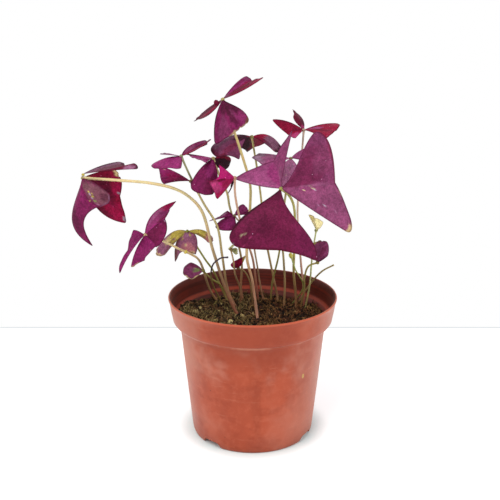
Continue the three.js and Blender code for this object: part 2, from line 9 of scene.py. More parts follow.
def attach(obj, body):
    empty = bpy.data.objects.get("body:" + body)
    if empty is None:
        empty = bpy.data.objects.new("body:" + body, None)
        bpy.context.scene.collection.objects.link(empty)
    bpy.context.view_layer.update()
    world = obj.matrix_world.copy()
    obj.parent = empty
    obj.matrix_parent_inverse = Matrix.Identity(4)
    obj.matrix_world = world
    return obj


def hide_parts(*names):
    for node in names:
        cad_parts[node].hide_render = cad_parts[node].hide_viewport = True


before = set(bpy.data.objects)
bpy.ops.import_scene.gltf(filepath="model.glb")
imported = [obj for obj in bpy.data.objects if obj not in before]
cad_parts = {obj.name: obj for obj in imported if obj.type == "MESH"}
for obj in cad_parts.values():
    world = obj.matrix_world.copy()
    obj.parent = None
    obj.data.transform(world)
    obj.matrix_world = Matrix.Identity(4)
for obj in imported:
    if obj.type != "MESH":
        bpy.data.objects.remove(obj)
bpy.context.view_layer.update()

# A purple shamrock in a moulded nursery pot; +Z is up and the front is towards -Y. Shapes are given in
# millimetres and turned into metres where a mesh is made. Finishes, node trees and lights are in metres.
MM = 0.001


# ---------------------------------------------------------------- Colours

def tone(code):
    """A hex colour as linear red, green, blue and alpha."""
    parts = [int(code[i:i + 2], 16) / 255 for i in (1, 3, 5)]
    linear = [c / 12.92 if c <= 0.04045 else ((c + 0.055) / 1.055) ** 2.4 for c in parts]
    return (*linear, 1.0)


# Leaf tones of three kinds: strong ones lie deepest in the skin, dull ones less, dry ones hardly at all.
STRONG_TONES = {
    "purple": "#7c2c57", "magenta": "#8c3668", "bright": "#9c4278", "maroon": "#6a2542", "dark": "#4c1b30",
    "black": "#341620", "wine": "#6c1a33", "crimson": "#98203f", "red": "#ad1f50", "rose": "#ba5a7e",
    "pink": "#bd2f76",
}
DULL_TONES = {
    "plum": "#88456b", "dusky": "#955679", "lilac": "#ae5f90", "orchid": "#d690ba", "pale": "#b489a6",
    "grey": "#87687a", "mauve": "#a37089", "dun": "#7f5b60",
}
DRY_TONES = {
    "green": "#74864c", "olive": "#b5a54e", "yellow": "#d6c25c", "cream": "#f6e9ae", "straw": "#d8c48e",
    "brown": "#6e4636", "salmon": "#bf7782", "frost": "#b5a9bc", "fleck": "#b9ae8c", "sage": "#b9bb84",
}
SKIN_DEPTHS = (
    (STRONG_TONES, (0.82, 0.42, 0.72, 1.0)),
    (DULL_TONES, (0.76, 0.58, 0.68, 1.0)),
    (DRY_TONES, (0.93, 0.92, 0.9, 1.0)),
)
SKIN_TONES = {
    name: [part * share for part, share in zip(tone(code), depth)]
    for tones, depth in SKIN_DEPTHS
    for name, code in tones.items()
}


# ---------------------------------------------------------------- Mesh helpers

def placed(name, data):
    """An object of the data, in the scene."""
    made = bpy.data.objects.new(name, data)
    bpy.context.scene.collection.objects.link(made)
    return made


def piece_from(name, points, faces, *materials):
    """A smooth mesh object from points in millimetres."""
    mesh = bpy.data.meshes.new(name)
    mesh.from_pydata([tuple(c * MM for c in p) for p in points], [], faces)
    for material in materials:
        mesh.materials.append(material)
    mesh.shade_smooth()
    mesh.update()
    return placed(name, mesh)


def paint(mesh, tones):
    """Stores the tone of each point on the mesh."""
    painted = mesh.color_attributes.new("tone", "FLOAT_COLOR", "POINT")
    painted.data.foreach_set("color", np.array(tones, np.float32).ravel())


def shaped_mesh(name, source):
    """The plain mesh that a source's modifiers make of it."""
    depsgraph = bpy.context.evaluated_depsgraph_get()
    mesh = bpy.data.meshes.new_from_object(source.evaluated_get(depsgraph), depsgraph=depsgraph)
    mesh.name = name
    return mesh


def baked(name, source, tree, settings):
    """The plain piece that a Geometry Nodes tree makes of a source; the source goes."""
    modifier = source.modifiers.new("shape", "NODES")
    modifier.node_group = tree
    for item in tree.interface.items_tree:
        if item.item_type == "SOCKET" and item.in_out == "INPUT" and item.name in settings:
            modifier[item.identifier] = settings[item.name]
    mesh = shaped_mesh(name, source)
    source.modifiers.remove(modifier)
    bpy.data.objects.remove(source)
    return placed(name, mesh)


def hand_over(piece, slot, *nodes):
    """The piece rides on the plant's one body and stands for its nodes, which are hidden; the slot is not
    used.
    """
    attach(piece, "root")
    if nodes:
        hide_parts(*nodes)


# ---------------------------------------------------------------- Node helpers

class Nodes:
    """Builds a node tree in short lines: a node is made with its inputs, by name or number."""

    def __init__(self, tree):
        self.tree = tree

    def add(self, kind, inputs=None, **options):
        node = self.tree.nodes.new(kind)
        for key, value in options.items():
            setattr(node, key, value)
        for key, value in (inputs or {}).items():
            socket = node.inputs[key]
            if isinstance(value, bpy.types.NodeSocket):
                self.tree.links.new(value, socket)
            else:
                socket.default_value = value
        return node

    def first(self, kind, inputs=None, **options):
        """The first output of a new node."""
        return self.add(kind, inputs, **options).outputs[0]

    def math(self, operation, *values):
        return self.first("ShaderNodeMath", dict(enumerate(values)), operation=operation)

    def times(self, value, share):
        return self.math("MULTIPLY", value, share)

    def vector(self, operation, *values):
        return self.first("ShaderNodeVectorMath", dict(enumerate(values)), operation=operation)

    def tinted(self, colour, tint):
        return self.vector("MULTIPLY", colour, tint)

    def measure(self, operation, *values):
        """The number that a vector operation gives, such as a length."""
        node = self.add("ShaderNodeVectorMath", dict(enumerate(values)), operation=operation)
        return node.outputs["Value"]

    def part(self, vector, axis):
        """One part of a vector: 0 for X, 1 for Y and 2 for Z."""
        return self.add("ShaderNodeSeparateXYZ", {0: vector}).outputs[axis]

    def combine(self, *parts):
        return self.first("ShaderNodeCombineXYZ", dict(enumerate(parts)))

    def shaded(self, colour, shade):
        """The colour, made lighter or darker by one value."""
        return self.tinted(colour, self.combine(shade, shade, shade))

    def ramp(self, value, low, high, start=0.0, end=1.0, smooth=True):
        inputs = {0: value, 1: low, 2: high, 3: start, 4: end}
        kind = "SMOOTHSTEP" if smooth else "LINEAR"
        return self.first("ShaderNodeMapRange", inputs, interpolation_type=kind)

    def band(self, value, start, full, fade, gone):
        """One from full to fade, and nothing before start or after gone."""
        return self.times(self.ramp(value, start, full), self.ramp(value, fade, gone, 1.0, 0.0))

    def blend(self, share, first, second):
        return self.add("ShaderNodeMix", {0: share, 6: first, 7: second}, data_type="RGBA").outputs[2]

    def noise(self, place, scale, detail=2.0, roughness=0.5, distortion=0.0):
        inputs = {"Vector": place, "Scale": scale, "Detail": detail, "Roughness": roughness,
                  "Distortion": distortion}
        return self.first("ShaderNodeTexNoise", inputs)

    def specks(self, place, scale, bare_share, core, edge):
        """Round specks in the few cells that aren't bare."""
        cells = self.add("ShaderNodeTexVoronoi", {"Vector": place, "Scale": scale})
        lot = self.first("ShaderNodeSeparateColor", {0: cells.outputs["Color"]})
        spot = self.ramp(cells.outputs["Distance"], core, edge, 1.0, 0.0)
        return self.times(spot, self.math("GREATER_THAN", lot, bare_share))

    def bump(self, height, distance, strength, under=None):
        inputs = {"Strength": strength, "Distance": distance, "Height": height}
        if under is not None:
            inputs["Normal"] = under
        return self.first("ShaderNodeBump", inputs)

    def attribute(self, name, output="Fac"):
        return self.add("ShaderNodeAttribute", attribute_name=name).outputs[output]

    def object_place(self, centre=(0, 0, 0), turn=(0, 0, 0), scale=(1, 1, 1)):
        place = self.add("ShaderNodeTexCoord").outputs["Object"]
        inputs = {"Vector": place, "Location": centre, "Rotation": turn, "Scale": scale}
        return self.first("ShaderNodeMapping", inputs)

    def random_vector(self, low, high, seed):
        inputs = {0: low, 1: high, "Seed": seed}
        return self.first("FunctionNodeRandomValue", inputs, data_type="FLOAT_VECTOR")

    def random_value(self, low, high, seed):
        inputs = {2: low, 3: high, "Seed": seed}
        return self.add("FunctionNodeRandomValue", inputs, data_type="FLOAT").outputs[1]

    def stored(self, geometry, name, value, kind="FLOAT", domain="POINT"):
        """The geometry with a value stored on it under a name."""
        inputs = {"Geometry": geometry, "Name": name, "Value": value}
        return self.first("GeometryNodeStoreNamedAttribute", inputs, data_type=kind, domain=domain)


def new_tree(name, kinds):
    """A Geometry Nodes tree with named inputs of given kinds, its node builder and its inputs' sockets."""
    tree = bpy.data.node_groups.new(name, "GeometryNodeTree")
    tree.interface.new_socket("Geometry", in_out="OUTPUT", socket_type="NodeSocketGeometry")
    for label, kind in kinds.items():
        tree.interface.new_socket(label, in_out="INPUT", socket_type="NodeSocket" + kind)
    n = Nodes(tree)
    return tree, n, n.add("NodeGroupInput").outputs


def new_finish(name, **sockets):
    """A material with plain values set on its Principled shader, its node builder, and the shader."""
    material = bpy.data.materials.new(name)
    material.use_nodes = True
    shader = material.node_tree.nodes["Principled BSDF"]
    for key, value in sockets.items():
        shader.inputs[key.replace("_", " ")].default_value = value
    return material, Nodes(material.node_tree), shader


def connect(nodes, shader, **links):
    for key, socket in links.items():
        nodes.tree.links.new(socket, shader.inputs[key.replace("_", " ")])


# ---------------------------------------------------------------- Finishes

SUBSURFACE_DEPTH = 0.0012


def blade_finish(name, sheen, vein_strength):
    """Leaf skin: the tone painted on the blade, with veins, clouding, dark margins and pale specks that
    partly stand as painted glints.
    """
    material, n, shader = new_finish(
        name, Subsurface_Weight=0.04, Subsurface_Scale=SUBSURFACE_DEPTH, Specular_IOR_Level=0.07,
        Sheen_Weight=sheen, Sheen_Roughness=0.5, Subsurface_Radius=(1.0, 0.3, 0.4),
    )
    place = n.object_place()
    on_blade = n.first("ShaderNodeUVMap", uv_map="blade")
    away = n.math("ABSOLUTE", n.math("MULTIPLY_ADD", n.part(on_blade, 0), 2.0, -1.0))
    share = n.part(on_blade, 1)

    # Side veins leave the rib slanting outwards and bend towards the far edge.
    wander = n.noise(place, 160.0, 2.0)
    slant = n.times(n.math("POWER", away, 0.75), -0.62)
    climb = n.math("ADD", share, slant)
    phase = n.math("MULTIPLY_ADD", climb, 8.0, n.times(wander, 1.1))
    wave = n.math("ABSOLUTE", n.math("SUBTRACT", n.math("FRACT", phase), 0.5))
    side_veins = n.ramp(wave, 0.0, 0.11, 1.0, 0.0)
    rib = n.ramp(n.times(away, n.math("ADD", share, 0.12)), 0.0, 0.03, 1.0, 0.0)
    veins = n.math("MAXIMUM", n.times(side_veins, 0.55), rib)

    clouds = n.noise(place, 75.0, 3.0, 0.55)
    tissue = n.noise(place, 1500.0, 3.0, 0.6)
    mottle = n.noise(place, 520.0, 2.0, 0.6)
    painted = n.attribute("tone", "Color")
    light = n.ramp(clouds, 0.3, 0.7, 0.84, 1.14)
    grain = n.ramp(tissue, 0.3, 0.7, 0.8, 1.2)
    shade = n.times(n.times(light, grain), n.ramp(mottle, 0.32, 0.68, 0.82, 1.2))
    vein_tint = n.tinted(painted, (1.28, 1.22, 1.2))
    colour = n.blend(n.times(veins, vein_strength), n.shaded(painted, shade), vein_tint)

    to_side = n.times(n.math("SUBTRACT", 1.0, away), share)
    to_edge = n.math("MINIMUM", n.math("SUBTRACT", 1.0, share), to_side)
    uneven = n.math("MULTIPLY_ADD", clouds, 0.05, -0.012)
    margin = n.ramp(n.math("SUBTRACT", to_edge, uneven), 0.0, 0.03, 1.0, 0.0)
    dark_rim = n.tinted(painted, (0.45, 0.35, 0.4))
    colour = n.blend(n.times(margin, 0.75), colour, dark_rim)
    # Pale specks: partly real flecks, partly painted glints.
    specks = n.specks(place, 380.0, bare_share=0.88, core=0.05, edge=0.14)
    colour = n.blend(n.times(specks, 0.7), colour, tone("#d3a9c4"))

    relief = n.math("SUBTRACT", n.times(tissue, 0.35), n.times(veins, 0.6))
    normal = n.bump(relief, 0.00018, 0.8)
    connect(n, shader, Base_Color=colour, Normal=normal, Roughness=n.ramp(clouds, 0.3, 0.7, 0.62, 0.48))
    return material


def stalk_finish(name, streak):
    """Stalk skin: the tone stored along the stalk, with long fine streaks."""
    material, n, shader = new_finish(
        name, Subsurface_Weight=0.15, Subsurface_Scale=SUBSURFACE_DEPTH, Specular_IOR_Level=0.4,
        Subsurface_Radius=(1.0, 0.6, 0.3),
    )
    lengthwise = n.combine(n.attribute("around"), n.attribute("run"))
    streaks = n.noise(lengthwise, 9.0, 3.0, 0.6)
    patches = n.noise(n.object_place(), 130.0, 2.0)
    painted = n.attribute("tone", "Color")
    streaked = n.ramp(streaks, 0.3, 0.7, 1 - streak, 1 + streak)
    clouded = n.ramp(patches, 0.3, 0.7, 1.15, 1.5)
    colour = n.shaded(painted, n.times(streaked, clouded))
    blush = n.ramp(patches, 0.52, 0.68, 0.0, 0.35)
    colour = n.blend(blush, colour, n.tinted(painted, (1.05, 0.75, 0.75)))
    normal = n.bump(streaks, 0.0002, 0.5)
    connect(n, shader, Base_Color=colour, Normal=normal, Roughness=n.ramp(streaks, 0.3, 0.7, 0.42, 0.6))
    return material


def pot_finish():
    """Terracotta-coloured moulded plastic: scuffed, dusty below the rim and specked with soil, with painted
    sheen at the sides, painted shadow under the rim, painted shade and compost stain inside, and painted
    highlights on the lip and the ledge.
    """
    material, n, shader = new_finish(
        "moulded_terracotta_plastic", Specular_IOR_Level=0.3, Sheen_Weight=0.2, Sheen_Roughness=0.3,
        Sheen_Tint=(1.0, 0.82, 0.7, 1.0),
    )
    place = n.object_place()
    height = n.part(place, 2)
    beside = n.math("ABSOLUTE", n.part(place, 0))
    outward = n.vector("NORMALIZE", n.vector("MULTIPLY", place, (1.0, 1.0, 0.0)))
    turned_out = n.measure("DOT_PRODUCT", n.add("ShaderNodeNewGeometry").outputs["Normal"], outward)

    clouds = n.noise(place, 28.0, 4.0, 0.6)
    streaks = n.noise(n.object_place(scale=(45.0, 45.0, 7.0)), 1.0, 3.0, 0.55, 0.4)
    smudges = n.noise(n.object_place(scale=(70.0, 70.0, 110.0), turn=(0, 0.5, 0)), 1.0, 3.0, 0.6)
    mottle = n.noise(place, 240.0, 3.0, 0.65)
    scuff = n.noise(n.object_place(scale=(60.0, 60.0, 420.0)), 1.0, 4.0, 0.65)
    colour = n.blend(n.ramp(clouds, 0.32, 0.68), tone("#9a3c1d"), tone("#a84728"))
    for cover, low, high, strength, code in (
        (streaks, 0.48, 0.66, 0.5, "#8a3213"), (smudges, 0.5, 0.66, 0.5, "#8d3213"),
        (mottle, 0.45, 0.7, 0.3, "#b5593c"), (scuff, 0.58, 0.8, 0.2, "#c98a70"),
    ):
        colour = n.blend(n.ramp(cover, low, high, 0.0, strength), colour, tone(code))

    # Lime lies in a loose band under the rim, painted sheen at the sides and a paler line along the crease.
    # The foot is darker in patches, the upper middle holds a painted shadow under the rim, and the lip
    # holds a painted highlight.
    wander = n.noise(place, 45.0, 3.0, 0.6)
    below_rim = n.band(n.math("SUBTRACT", 0.0725, height), -0.001, 0.003, 0.012, 0.034)
    lime = n.times(below_rim, n.ramp(wander, 0.42, 0.68, 0.0, 0.34))
    # Painted sheen: the sides are paler, as a sheen seen at a glancing angle.
    painted_side_sheen = n.ramp(n.math("MULTIPLY_ADD", beside, 8.0, n.noise(place, 19.0, 4.0, 0.6)), 0.6, 0.88, 0.0, 0.45)
    foot = n.times(n.ramp(height, 0.0, 0.016, 1.0, 0.0), n.ramp(wander, 0.4, 0.65, 0.1, 0.55))
    # Painted shadow under the rim: the upper middle of the wall is darker.
    centred = n.ramp(beside, 0.012, 0.04, 1.0, 0.0)
    middle = n.times(centred, n.ramp(height, 0.054, 0.066, 0.0, 0.65))
    crease = n.times(n.band(height, 0.0712, 0.0722, 0.0738, 0.075), n.ramp(wander, 0.4, 0.62, 0.0, 0.35))
    # Painted highlight along the top of the lip.
    painted_lip_highlight = n.ramp(height, 0.0885, 0.0893, 0.0, 0.5)
    for cover, code in (
        (lime, "#cc9a88"), (painted_side_sheen, "#bd7862"), (foot, "#8a3c28"), (middle, "#8d3418"), (crease, "#cf967c"),
        (painted_lip_highlight, "#cc6040"),
    ):
        colour = n.blend(cover, colour, tone(code))

    # The inside is painted darker, as shade within the pot and stain from the compost, and rings of old
    # levels mark the wall. Its ledge holds a painted highlight.
    inside_shade_and_stain = n.times(n.ramp(turned_out, -0.12, -0.5), 0.94)
    rings = n.noise(n.object_place(scale=(8.0, 8.0, 900.0)), 1.0, 2.0, 0.5)
    shade_and_stain_tone = n.blend(n.ramp(rings, 0.4, 0.62), tone("#4e1308"), tone("#6c1f10"))
    shade_and_stain_tone = n.blend(n.ramp(clouds, 0.4, 0.62, 0.0, 0.5), shade_and_stain_tone, tone("#390e07"))
    colour = n.blend(inside_shade_and_stain, colour, shade_and_stain_tone)
    # Painted highlight on the upper face of the inner ledge.
    ledge = n.times(n.band(height, 0.0766, 0.0774, 0.0782, 0.0795), n.math("LESS_THAN", turned_out, 0.4))
    colour = n.blend(n.times(ledge, 0.85), colour, tone("#a23c22"))
    specks = n.specks(place, 120.0, bare_share=0.9, core=0.02, edge=0.07)
    colour = n.blend(n.times(specks, 0.8), colour, tone("#4e281c"))

    # A scrap of dry leaf stuck to the front of the wall, right of the middle.
    scrap_scale = (700.0, 420.0, 380.0)
    scrap_place = n.object_place(centre=(-26.4, 12.9, -10.0), turn=(0, 0.35, 0), scale=scrap_scale)
    scrap = n.ramp(n.measure("LENGTH", scrap_place), 0.5, 0.7, 1.0, 0.0)
    colour = n.blend(scrap, colour, tone("#b08a4a"))

    grain = n.noise(place, 2600.0, 2.0, 0.6)
    normal = n.bump(grain, 0.00006, 0.5, n.bump(scuff, 0.0002, 0.35))
    shine = n.math("ADD", n.ramp(clouds, 0.3, 0.7, 0.36, 0.52), n.times(lime, 0.4))
    connect(n, shader, Base_Color=colour, Normal=normal, Roughness=shine)
    return material


def compost_finish():
    """Damp compost: dark peat with lighter crumbs and a bloom of moss."""
    material, n, shader = new_finish("peat_compost", Specular_IOR_Level=0.25)
    place = n.object_place()
    crumbs = n.noise(place, 900.0, 4.0, 0.7)
    clumps = n.noise(place, 130.0, 3.0, 0.6)
    colour = n.blend(n.ramp(crumbs, 0.35, 0.7), tone("#120a06"), tone("#55361f"))
    colour = n.blend(n.ramp(clumps, 0.52, 0.66, 0.0, 0.6), colour, tone("#3b301a"))
    normal = n.bump(crumbs, 0.0008, 0.9)
    connect(n, shader, Base_Color=colour, Normal=normal, Roughness=n.ramp(crumbs, 0.3, 0.7, 0.95, 0.75))
    return material


def litter_finish(name, tones):
    """Loose bits: each has its own tone between the given ones and a fine grain, redder and darker to the
    right, the darkening a painted shade.
    """
    material, n, shader = new_finish(name, Specular_IOR_Level=0.25, Roughness=0.85)
    ramp = n.add("ShaderNodeValToRGB", {0: n.attribute("lot")})
    stops = ramp.color_ramp.elements
    while len(stops) < len(tones):
        stops.new(0.5)
    for number, (stop, code) in enumerate(zip(stops, tones)):
        stop.position = number / (len(tones) - 1)
        stop.color = tone(code)
    place = n.object_place()
    grain = n.noise(place, 1800.0, 3.0, 0.6)
    colour = n.shaded(ramp.outputs[0], n.ramp(grain, 0.3, 0.7, 0.75, 1.25))
    # To the right the bits are redder, and darker as painted shade from the leaves above.
    redder_and_shaded = n.tinted(colour, (0.78, 0.56, 0.52))
    colour = n.blend(n.ramp(n.part(place, 0), -0.012, 0.012), colour, redder_and_shaded)
    connect(n, shader, Base_Color=colour, Normal=n.bump(grain, 0.0003, 0.6))
    return material


BLADE_FINISHES = {
    "blade_purple": blade_finish("purple_leaf_skin", 0.01, 0.3),
    "blade_maroon": blade_finish("maroon_leaf_skin", 0.01, 0.28),
    "blade_crimson": blade_finish("crimson_leaf_skin", 0.0, 0.35),
    "blade_lilac": blade_finish("lilac_leaf_skin", 0.02, 0.3),
    "blade_yellow_green": blade_finish("fading_leaf_skin", 0.02, 0.4),
    "blade_yellow": blade_finish("withered_leaf_skin", 0.0, 0.4),
}
STALK_SKIN = stalk_finish("stalk_skin", 0.12)
DRY_STALK_SKIN = stalk_finish("dry_stalk_skin", 0.25)


# ---------------------------------------------------------------- Leaves and stalks

# A leaflet is a heart of two lobes, folded along its rib. Rib, left and right run from the hub to the
# notch and to the two outer corners; left is the left lobe seen from the upper side, hub at the bottom.
# bow, side and far bend the blade, its straight sides and its far edges, and sway gives a straight side an
# S bend. A list of two holds a value for the left lobe and one for the right. upper and under are the tones
# of the two sides. Patches and bites are in percent. A patch is on_upper, on_under or on_both sides: its
# place across from -100 (left) to 100 (right), its place along from the hub, its width and its length, then
# its tone and its strength. A bite is a torn place in the far edge: its place across, its width and depth.
PLAIN_LEAFLET = {
    "start": (0, 0, 0), "bow": 1, "belly": 1.5, "side": 0.5, "sway": 0, "far": (0, 0, 0), "edge": 0,
    "corner": 0.8, "corner_from": 0.5, "upper": "purple", "under": "wine", "wave": 0.35, "bites": (),
    "on_upper": [], "on_under": [], "on_both": [],
}


def shares(rows):
    """Rows of percents and names, with the percents turned into shares."""
    return [tuple(v if isinstance(v, str) else v / 100 for v in row) for row in rows]


def leaflet(rib, left, right, **form):
    form = {**PLAIN_LEAFLET, **form}
    marks = {key: shares(form[key]) for key in ("bites", "on_upper", "on_under", "on_both")}
    return {"rib": rib, "left": left, "right": right, **form, **marks}


LEAVES = []


def add_leaf(name, slot, hub, radius, skin, stalk, *leaflets, knuckle=None):
    """Adds leaflets at the hub of a stalk with this radius, these foot and tip tones and these corners."""
    LEAVES.append({
        "name": name, "slot": slot, "hub": hub, "radius": radius, "skin": skin, "stalk": stalk,
        "leaflets": leaflets, "knuckle": knuckle,
    })


add_leaf(
    "broad", "blade_purple", (16, -25, 163.5), 0.85, ("#9c6e50", "#a9a35c"),
    [
        (28.5, 23.5, 69), (28, 19.5, 82), (26, 10.5, 101.5), (25.5, -7, 130.5), (24.5, -17.5, 148.5),
        (23, -21, 155), (20.5, -23, 159.5),
    ],
    leaflet(
        (-2.5, -18, -31.5), (21.5, -11, -41), (-31, -11, -30.5),
        bow=4, side=[0.35, 4.4], sway=[3.1, 1.8], edge=[-0.02, 0.03], corner=[0.95, 0.87],
        corner_from=[0.85, 0.7], upper="maroon", bites=[(-10, 3, 1.5)],
        on_upper=[
            (98, 50, 7, 60, "black", 70), (0, 8, 130, 10, "dark", 70), (0, 103, 130, 5, "red", 35),
            (-75, 85, 35, 30, "purple", 30), (50, 70, 30, 25, "dark", 25), (77, 85, 3.5, 3, "fleck", 90),
            (72, 82, 3, 2.5, "fleck", 70), (87, 100, 3, 3, "frost", 60), (65, 97, 3, 3, "rose", 70),
            (58, 83, 3, 2.5, "rose", 70), (-10, 100, 3, 3, "black", 95),
        ],
    ),
    leaflet(
        (31.5, 3, 3), (24.5, 15, 34), (44, -3, -28.5),
        bow=3, side=[1.2, 1], sway=[2, 0], edge=[0.05, 0.03], corner=[0.83, 0.86], corner_from=[0.5, 0.55],
        upper="plum",
        on_upper=[
            (62, 75, 58, 90, "dusky", 90), (-45, 42, 45, 55, "maroon", 70), (-50, 102, 55, 5, "red", 50),
            (-100, 60, 6, 50, "magenta", 50), (-45, 80, 25, 20, "dusky", 40),
            (92, 99, 16, 3.5, "straw", 95), (2, 55, 3.5, 60, "pale", 35), (12, 54, 4, 3, "fleck", 95),
            (5, 51, 3, 2.5, "green", 80), (17, 56, 3, 2, "frost", 90), (20, 36, 3, 2, "cream", 90),
            (59, 63, 3.5, 3, "frost", 95), (66, 52, 3.5, 2.5, "pale", 90), (63, 78, 3, 2.5, "pale", 80),
            (90, 70, 3, 2.5, "pale", 70), (20, 100, 8, 3, "straw", 60),
        ],
    ),
    leaflet(
        (-3.5, 27, 10.5), (-27.5, 20, 1.5), (8, 29, 29.5),
        bow=-2, side=[0.2, (-1.6, 0, -0.3)], far=[(0, 0, -0.5), (0.6, 0, -0.4)], corner=0.96,
        corner_from=0.88, upper="lilac",
        on_upper=[
            (70, 60, 55, 90, "plum", 60), (-15, 50, 20, 40, "bright", 70), (-95, 50, 12, 50, "pale", 35),
            (95, 95, 30, 12, "dusky", 80), (30, 35, 20, 25, "grey", 40),
        ],
    ),
)
add_leaf(
    "lilac", "blade_lilac", (23.5, 16, 173), 0.75, ("#8d6a4a", "#a39a68"),
    [(20.5, 24, 69), (21, 23, 89), (20, 21.5, 105.5), (18.5, 19.5, 126), (21, 17, 153)],
    leaflet(
        (-24, -1, 0.5), (-15.5, -10, -4), (-17.5, 8, 1.5),
        bow=0.5, belly=0.6, side=[0.3, 0.6], corner=0.88, corner_from=0.6, upper="orchid",
        on_upper=[(20, 95, 80, 20, "frost", 60), (-60, 60, 40, 40, "bright", 50)],
    ),
    leaflet(
        (-4, -16, -14.5), (5, -10, -14), (-11.5, -14, -12.5),
        bow=2, belly=1, side=2, edge=0.05, upper="orchid",
        on_upper=[
            (24, 40, 6, 5, "fleck", 90), (22, 64, 6, 5, "fleck", 90), (-10, 50, 5, 4, "fleck", 80),
            # The wide pale patch is painted light, lifting a leaflet that faces down.
            (-44, 30, 20, 12, "pale", 80), (0, 60, 120, 50, "pale", 35),
        ],
    ),
    leaflet((19, -4, 2.5), (15, 5, 6), (20, -13, -3), bow=2, belly=1, side=1, edge=0.05, upper="lilac"),
)
add_leaf(
    "crimson", "blade_crimson", (31.5, 22, 189.5), 0.7, ("#9a5d4c", "#bfa892"),
    [
        (33.5, 22.5, 69), (33.5, 22.5, 81.5), (31, 22.5, 105.5), (28.5, 22, 136.5), (29, 22, 151.5),
        (30.5, 22, 174),
    ],
    leaflet(
        (-10, 2, -3), (-6, -10, -4), (-19.5, 12, 4.5),
        bow=(0, 0, 0.5), belly=0.5, side=[0.3, (0, 0, 1.6)], far=[(0, 0, 0), (-0.4, 0, -0.3)],
        corner=[0.9, 0.94], corner_from=[0.7, 0.8], upper="crimson",
        on_upper=[
            (-85, 80, 50, 35, "rose", 90), (20, 30, 30, 25, "dark", 50), (95, 50, 10, 50, "dark", 50),
        ],
    ),
    leaflet(
        (-6, 20, 10), (-6, 10, 7.5), (-3.5, 27, 6.5),
        bow=0.5, belly=0.3, side=[(-2.6, 0, 0.5), (1.8, 0, 0)], corner=0.9, upper="wine",
        on_upper=[(60, 50, 30, 60, "dark", 50), (0, 10, 120, 12, "rose", 70)],
    ),
    leaflet(
        (19.5, -4, 0), (25, 11, 1.5), (12.5, -18, -2.5),
        bow=0.8, belly=1, side=[(-0.4, 0, 1.2), 0.6], edge=0.02, corner=[0.8, 0.9], corner_from=[0.25, 0.7],
        upper="crimson",
        on_upper=[
            # The lilac patch near the hub is a painted highlight.
            (-30, 30, 30, 22, "lilac", 85), (20, 60, 25, 30, "wine", 70), (-90, 50, 10, 40, "dark", 50),
        ],
    ),
)
add_leaf(
    "tall", "blade_purple", (-17.5, -2, 211.5), 0.88, ("#b4846c", "#b8a86c"),
    [
        (3.5, 7.5, 69), (1, 7, 88.5), (-0.5, 4, 99.5), (-3.5, 1, 113.5), (-3, 1, 128), (-1.5, 2.5, 146.5),
        (-1.5, 2, 159.5), (-5.5, -3, 176), (-10.5, -5, 192),
    ],
    leaflet(
        (17, 14, 9.5), (14, 22, 11.5), (24, -2, 12.5),
        bow=(0, 0, 0.6), belly=0.3, side=[(-0.3, 0, 0.7), (0.3, 0, -1.6)], corner=[0.8, 0.97],
        corner_from=[0.35, 0.93],
        on_upper=[
            # The bright patch on the left lobe is a painted highlight.
            (50, 65, 62, 95, "crimson", 85), (45, 50, 40, 70, "wine", 85), (-35, 45, 30, 30, "bright", 70),
            (-70, 95, 40, 12, "plum", 70), (0, 10, 120, 10, "grey", 60),
        ],
    ),
    leaflet(
        (-17, 0, -13), (-12.5, -12, -10), (-15, 12, -11.5),
        bow=(-0.4, 0, -1), belly=0.2, side=[(0.3, 0, -1.2), (-0.3, 0, 1.3)], corner=0.88, upper="wine",
        on_upper=[
            (90, 60, 12, 50, "dark", 70), (0, 97, 120, 8, "dark", 70), (-50, 50, 30, 30, "crimson", 60),
            (30, 40, 60, 50, "dark", 50),
        ],
    ),
    leaflet(
        (6.3, -16.2, -18), (15.7, -10, -11.8), (-4.8, -8, -26.4),
        bow=2.5, side=[2.5, 2.1], sway=[1.2, 0], edge=0.02, corner=[0.92, 0.88], corner_from=[0.75, 0.65],
        bites=[(-42, 7, 5), (-75, 5, 4), (-12, 6, 3.5)],
        on_upper=[
            # The dark patches near the hub and across the left lobe are painted shadow of the fold.
            (100, 45, 10, 60, "dark", 75), (-30, 22, 90, 28, "dark", 80), (-35, 50, 22, 40, "dark", 80),
            (-75, 60, 30, 30, "plum", 50), (35, 75, 30, 30, "plum", 70), (-70, 75, 20, 25, "magenta", 50),
            (-85, 36, 30, 34, "dark", 90), (-93, 98, 16, 9, "brown", 85), (-55, 101, 30, 3.5, "straw", 90),
            (-5, 101, 20, 4, "straw", 95),
        ],
    ),
    knuckle={"at": (-3.6, 0, -2.2), "radius": 1.9, "tone": "wine"},
)
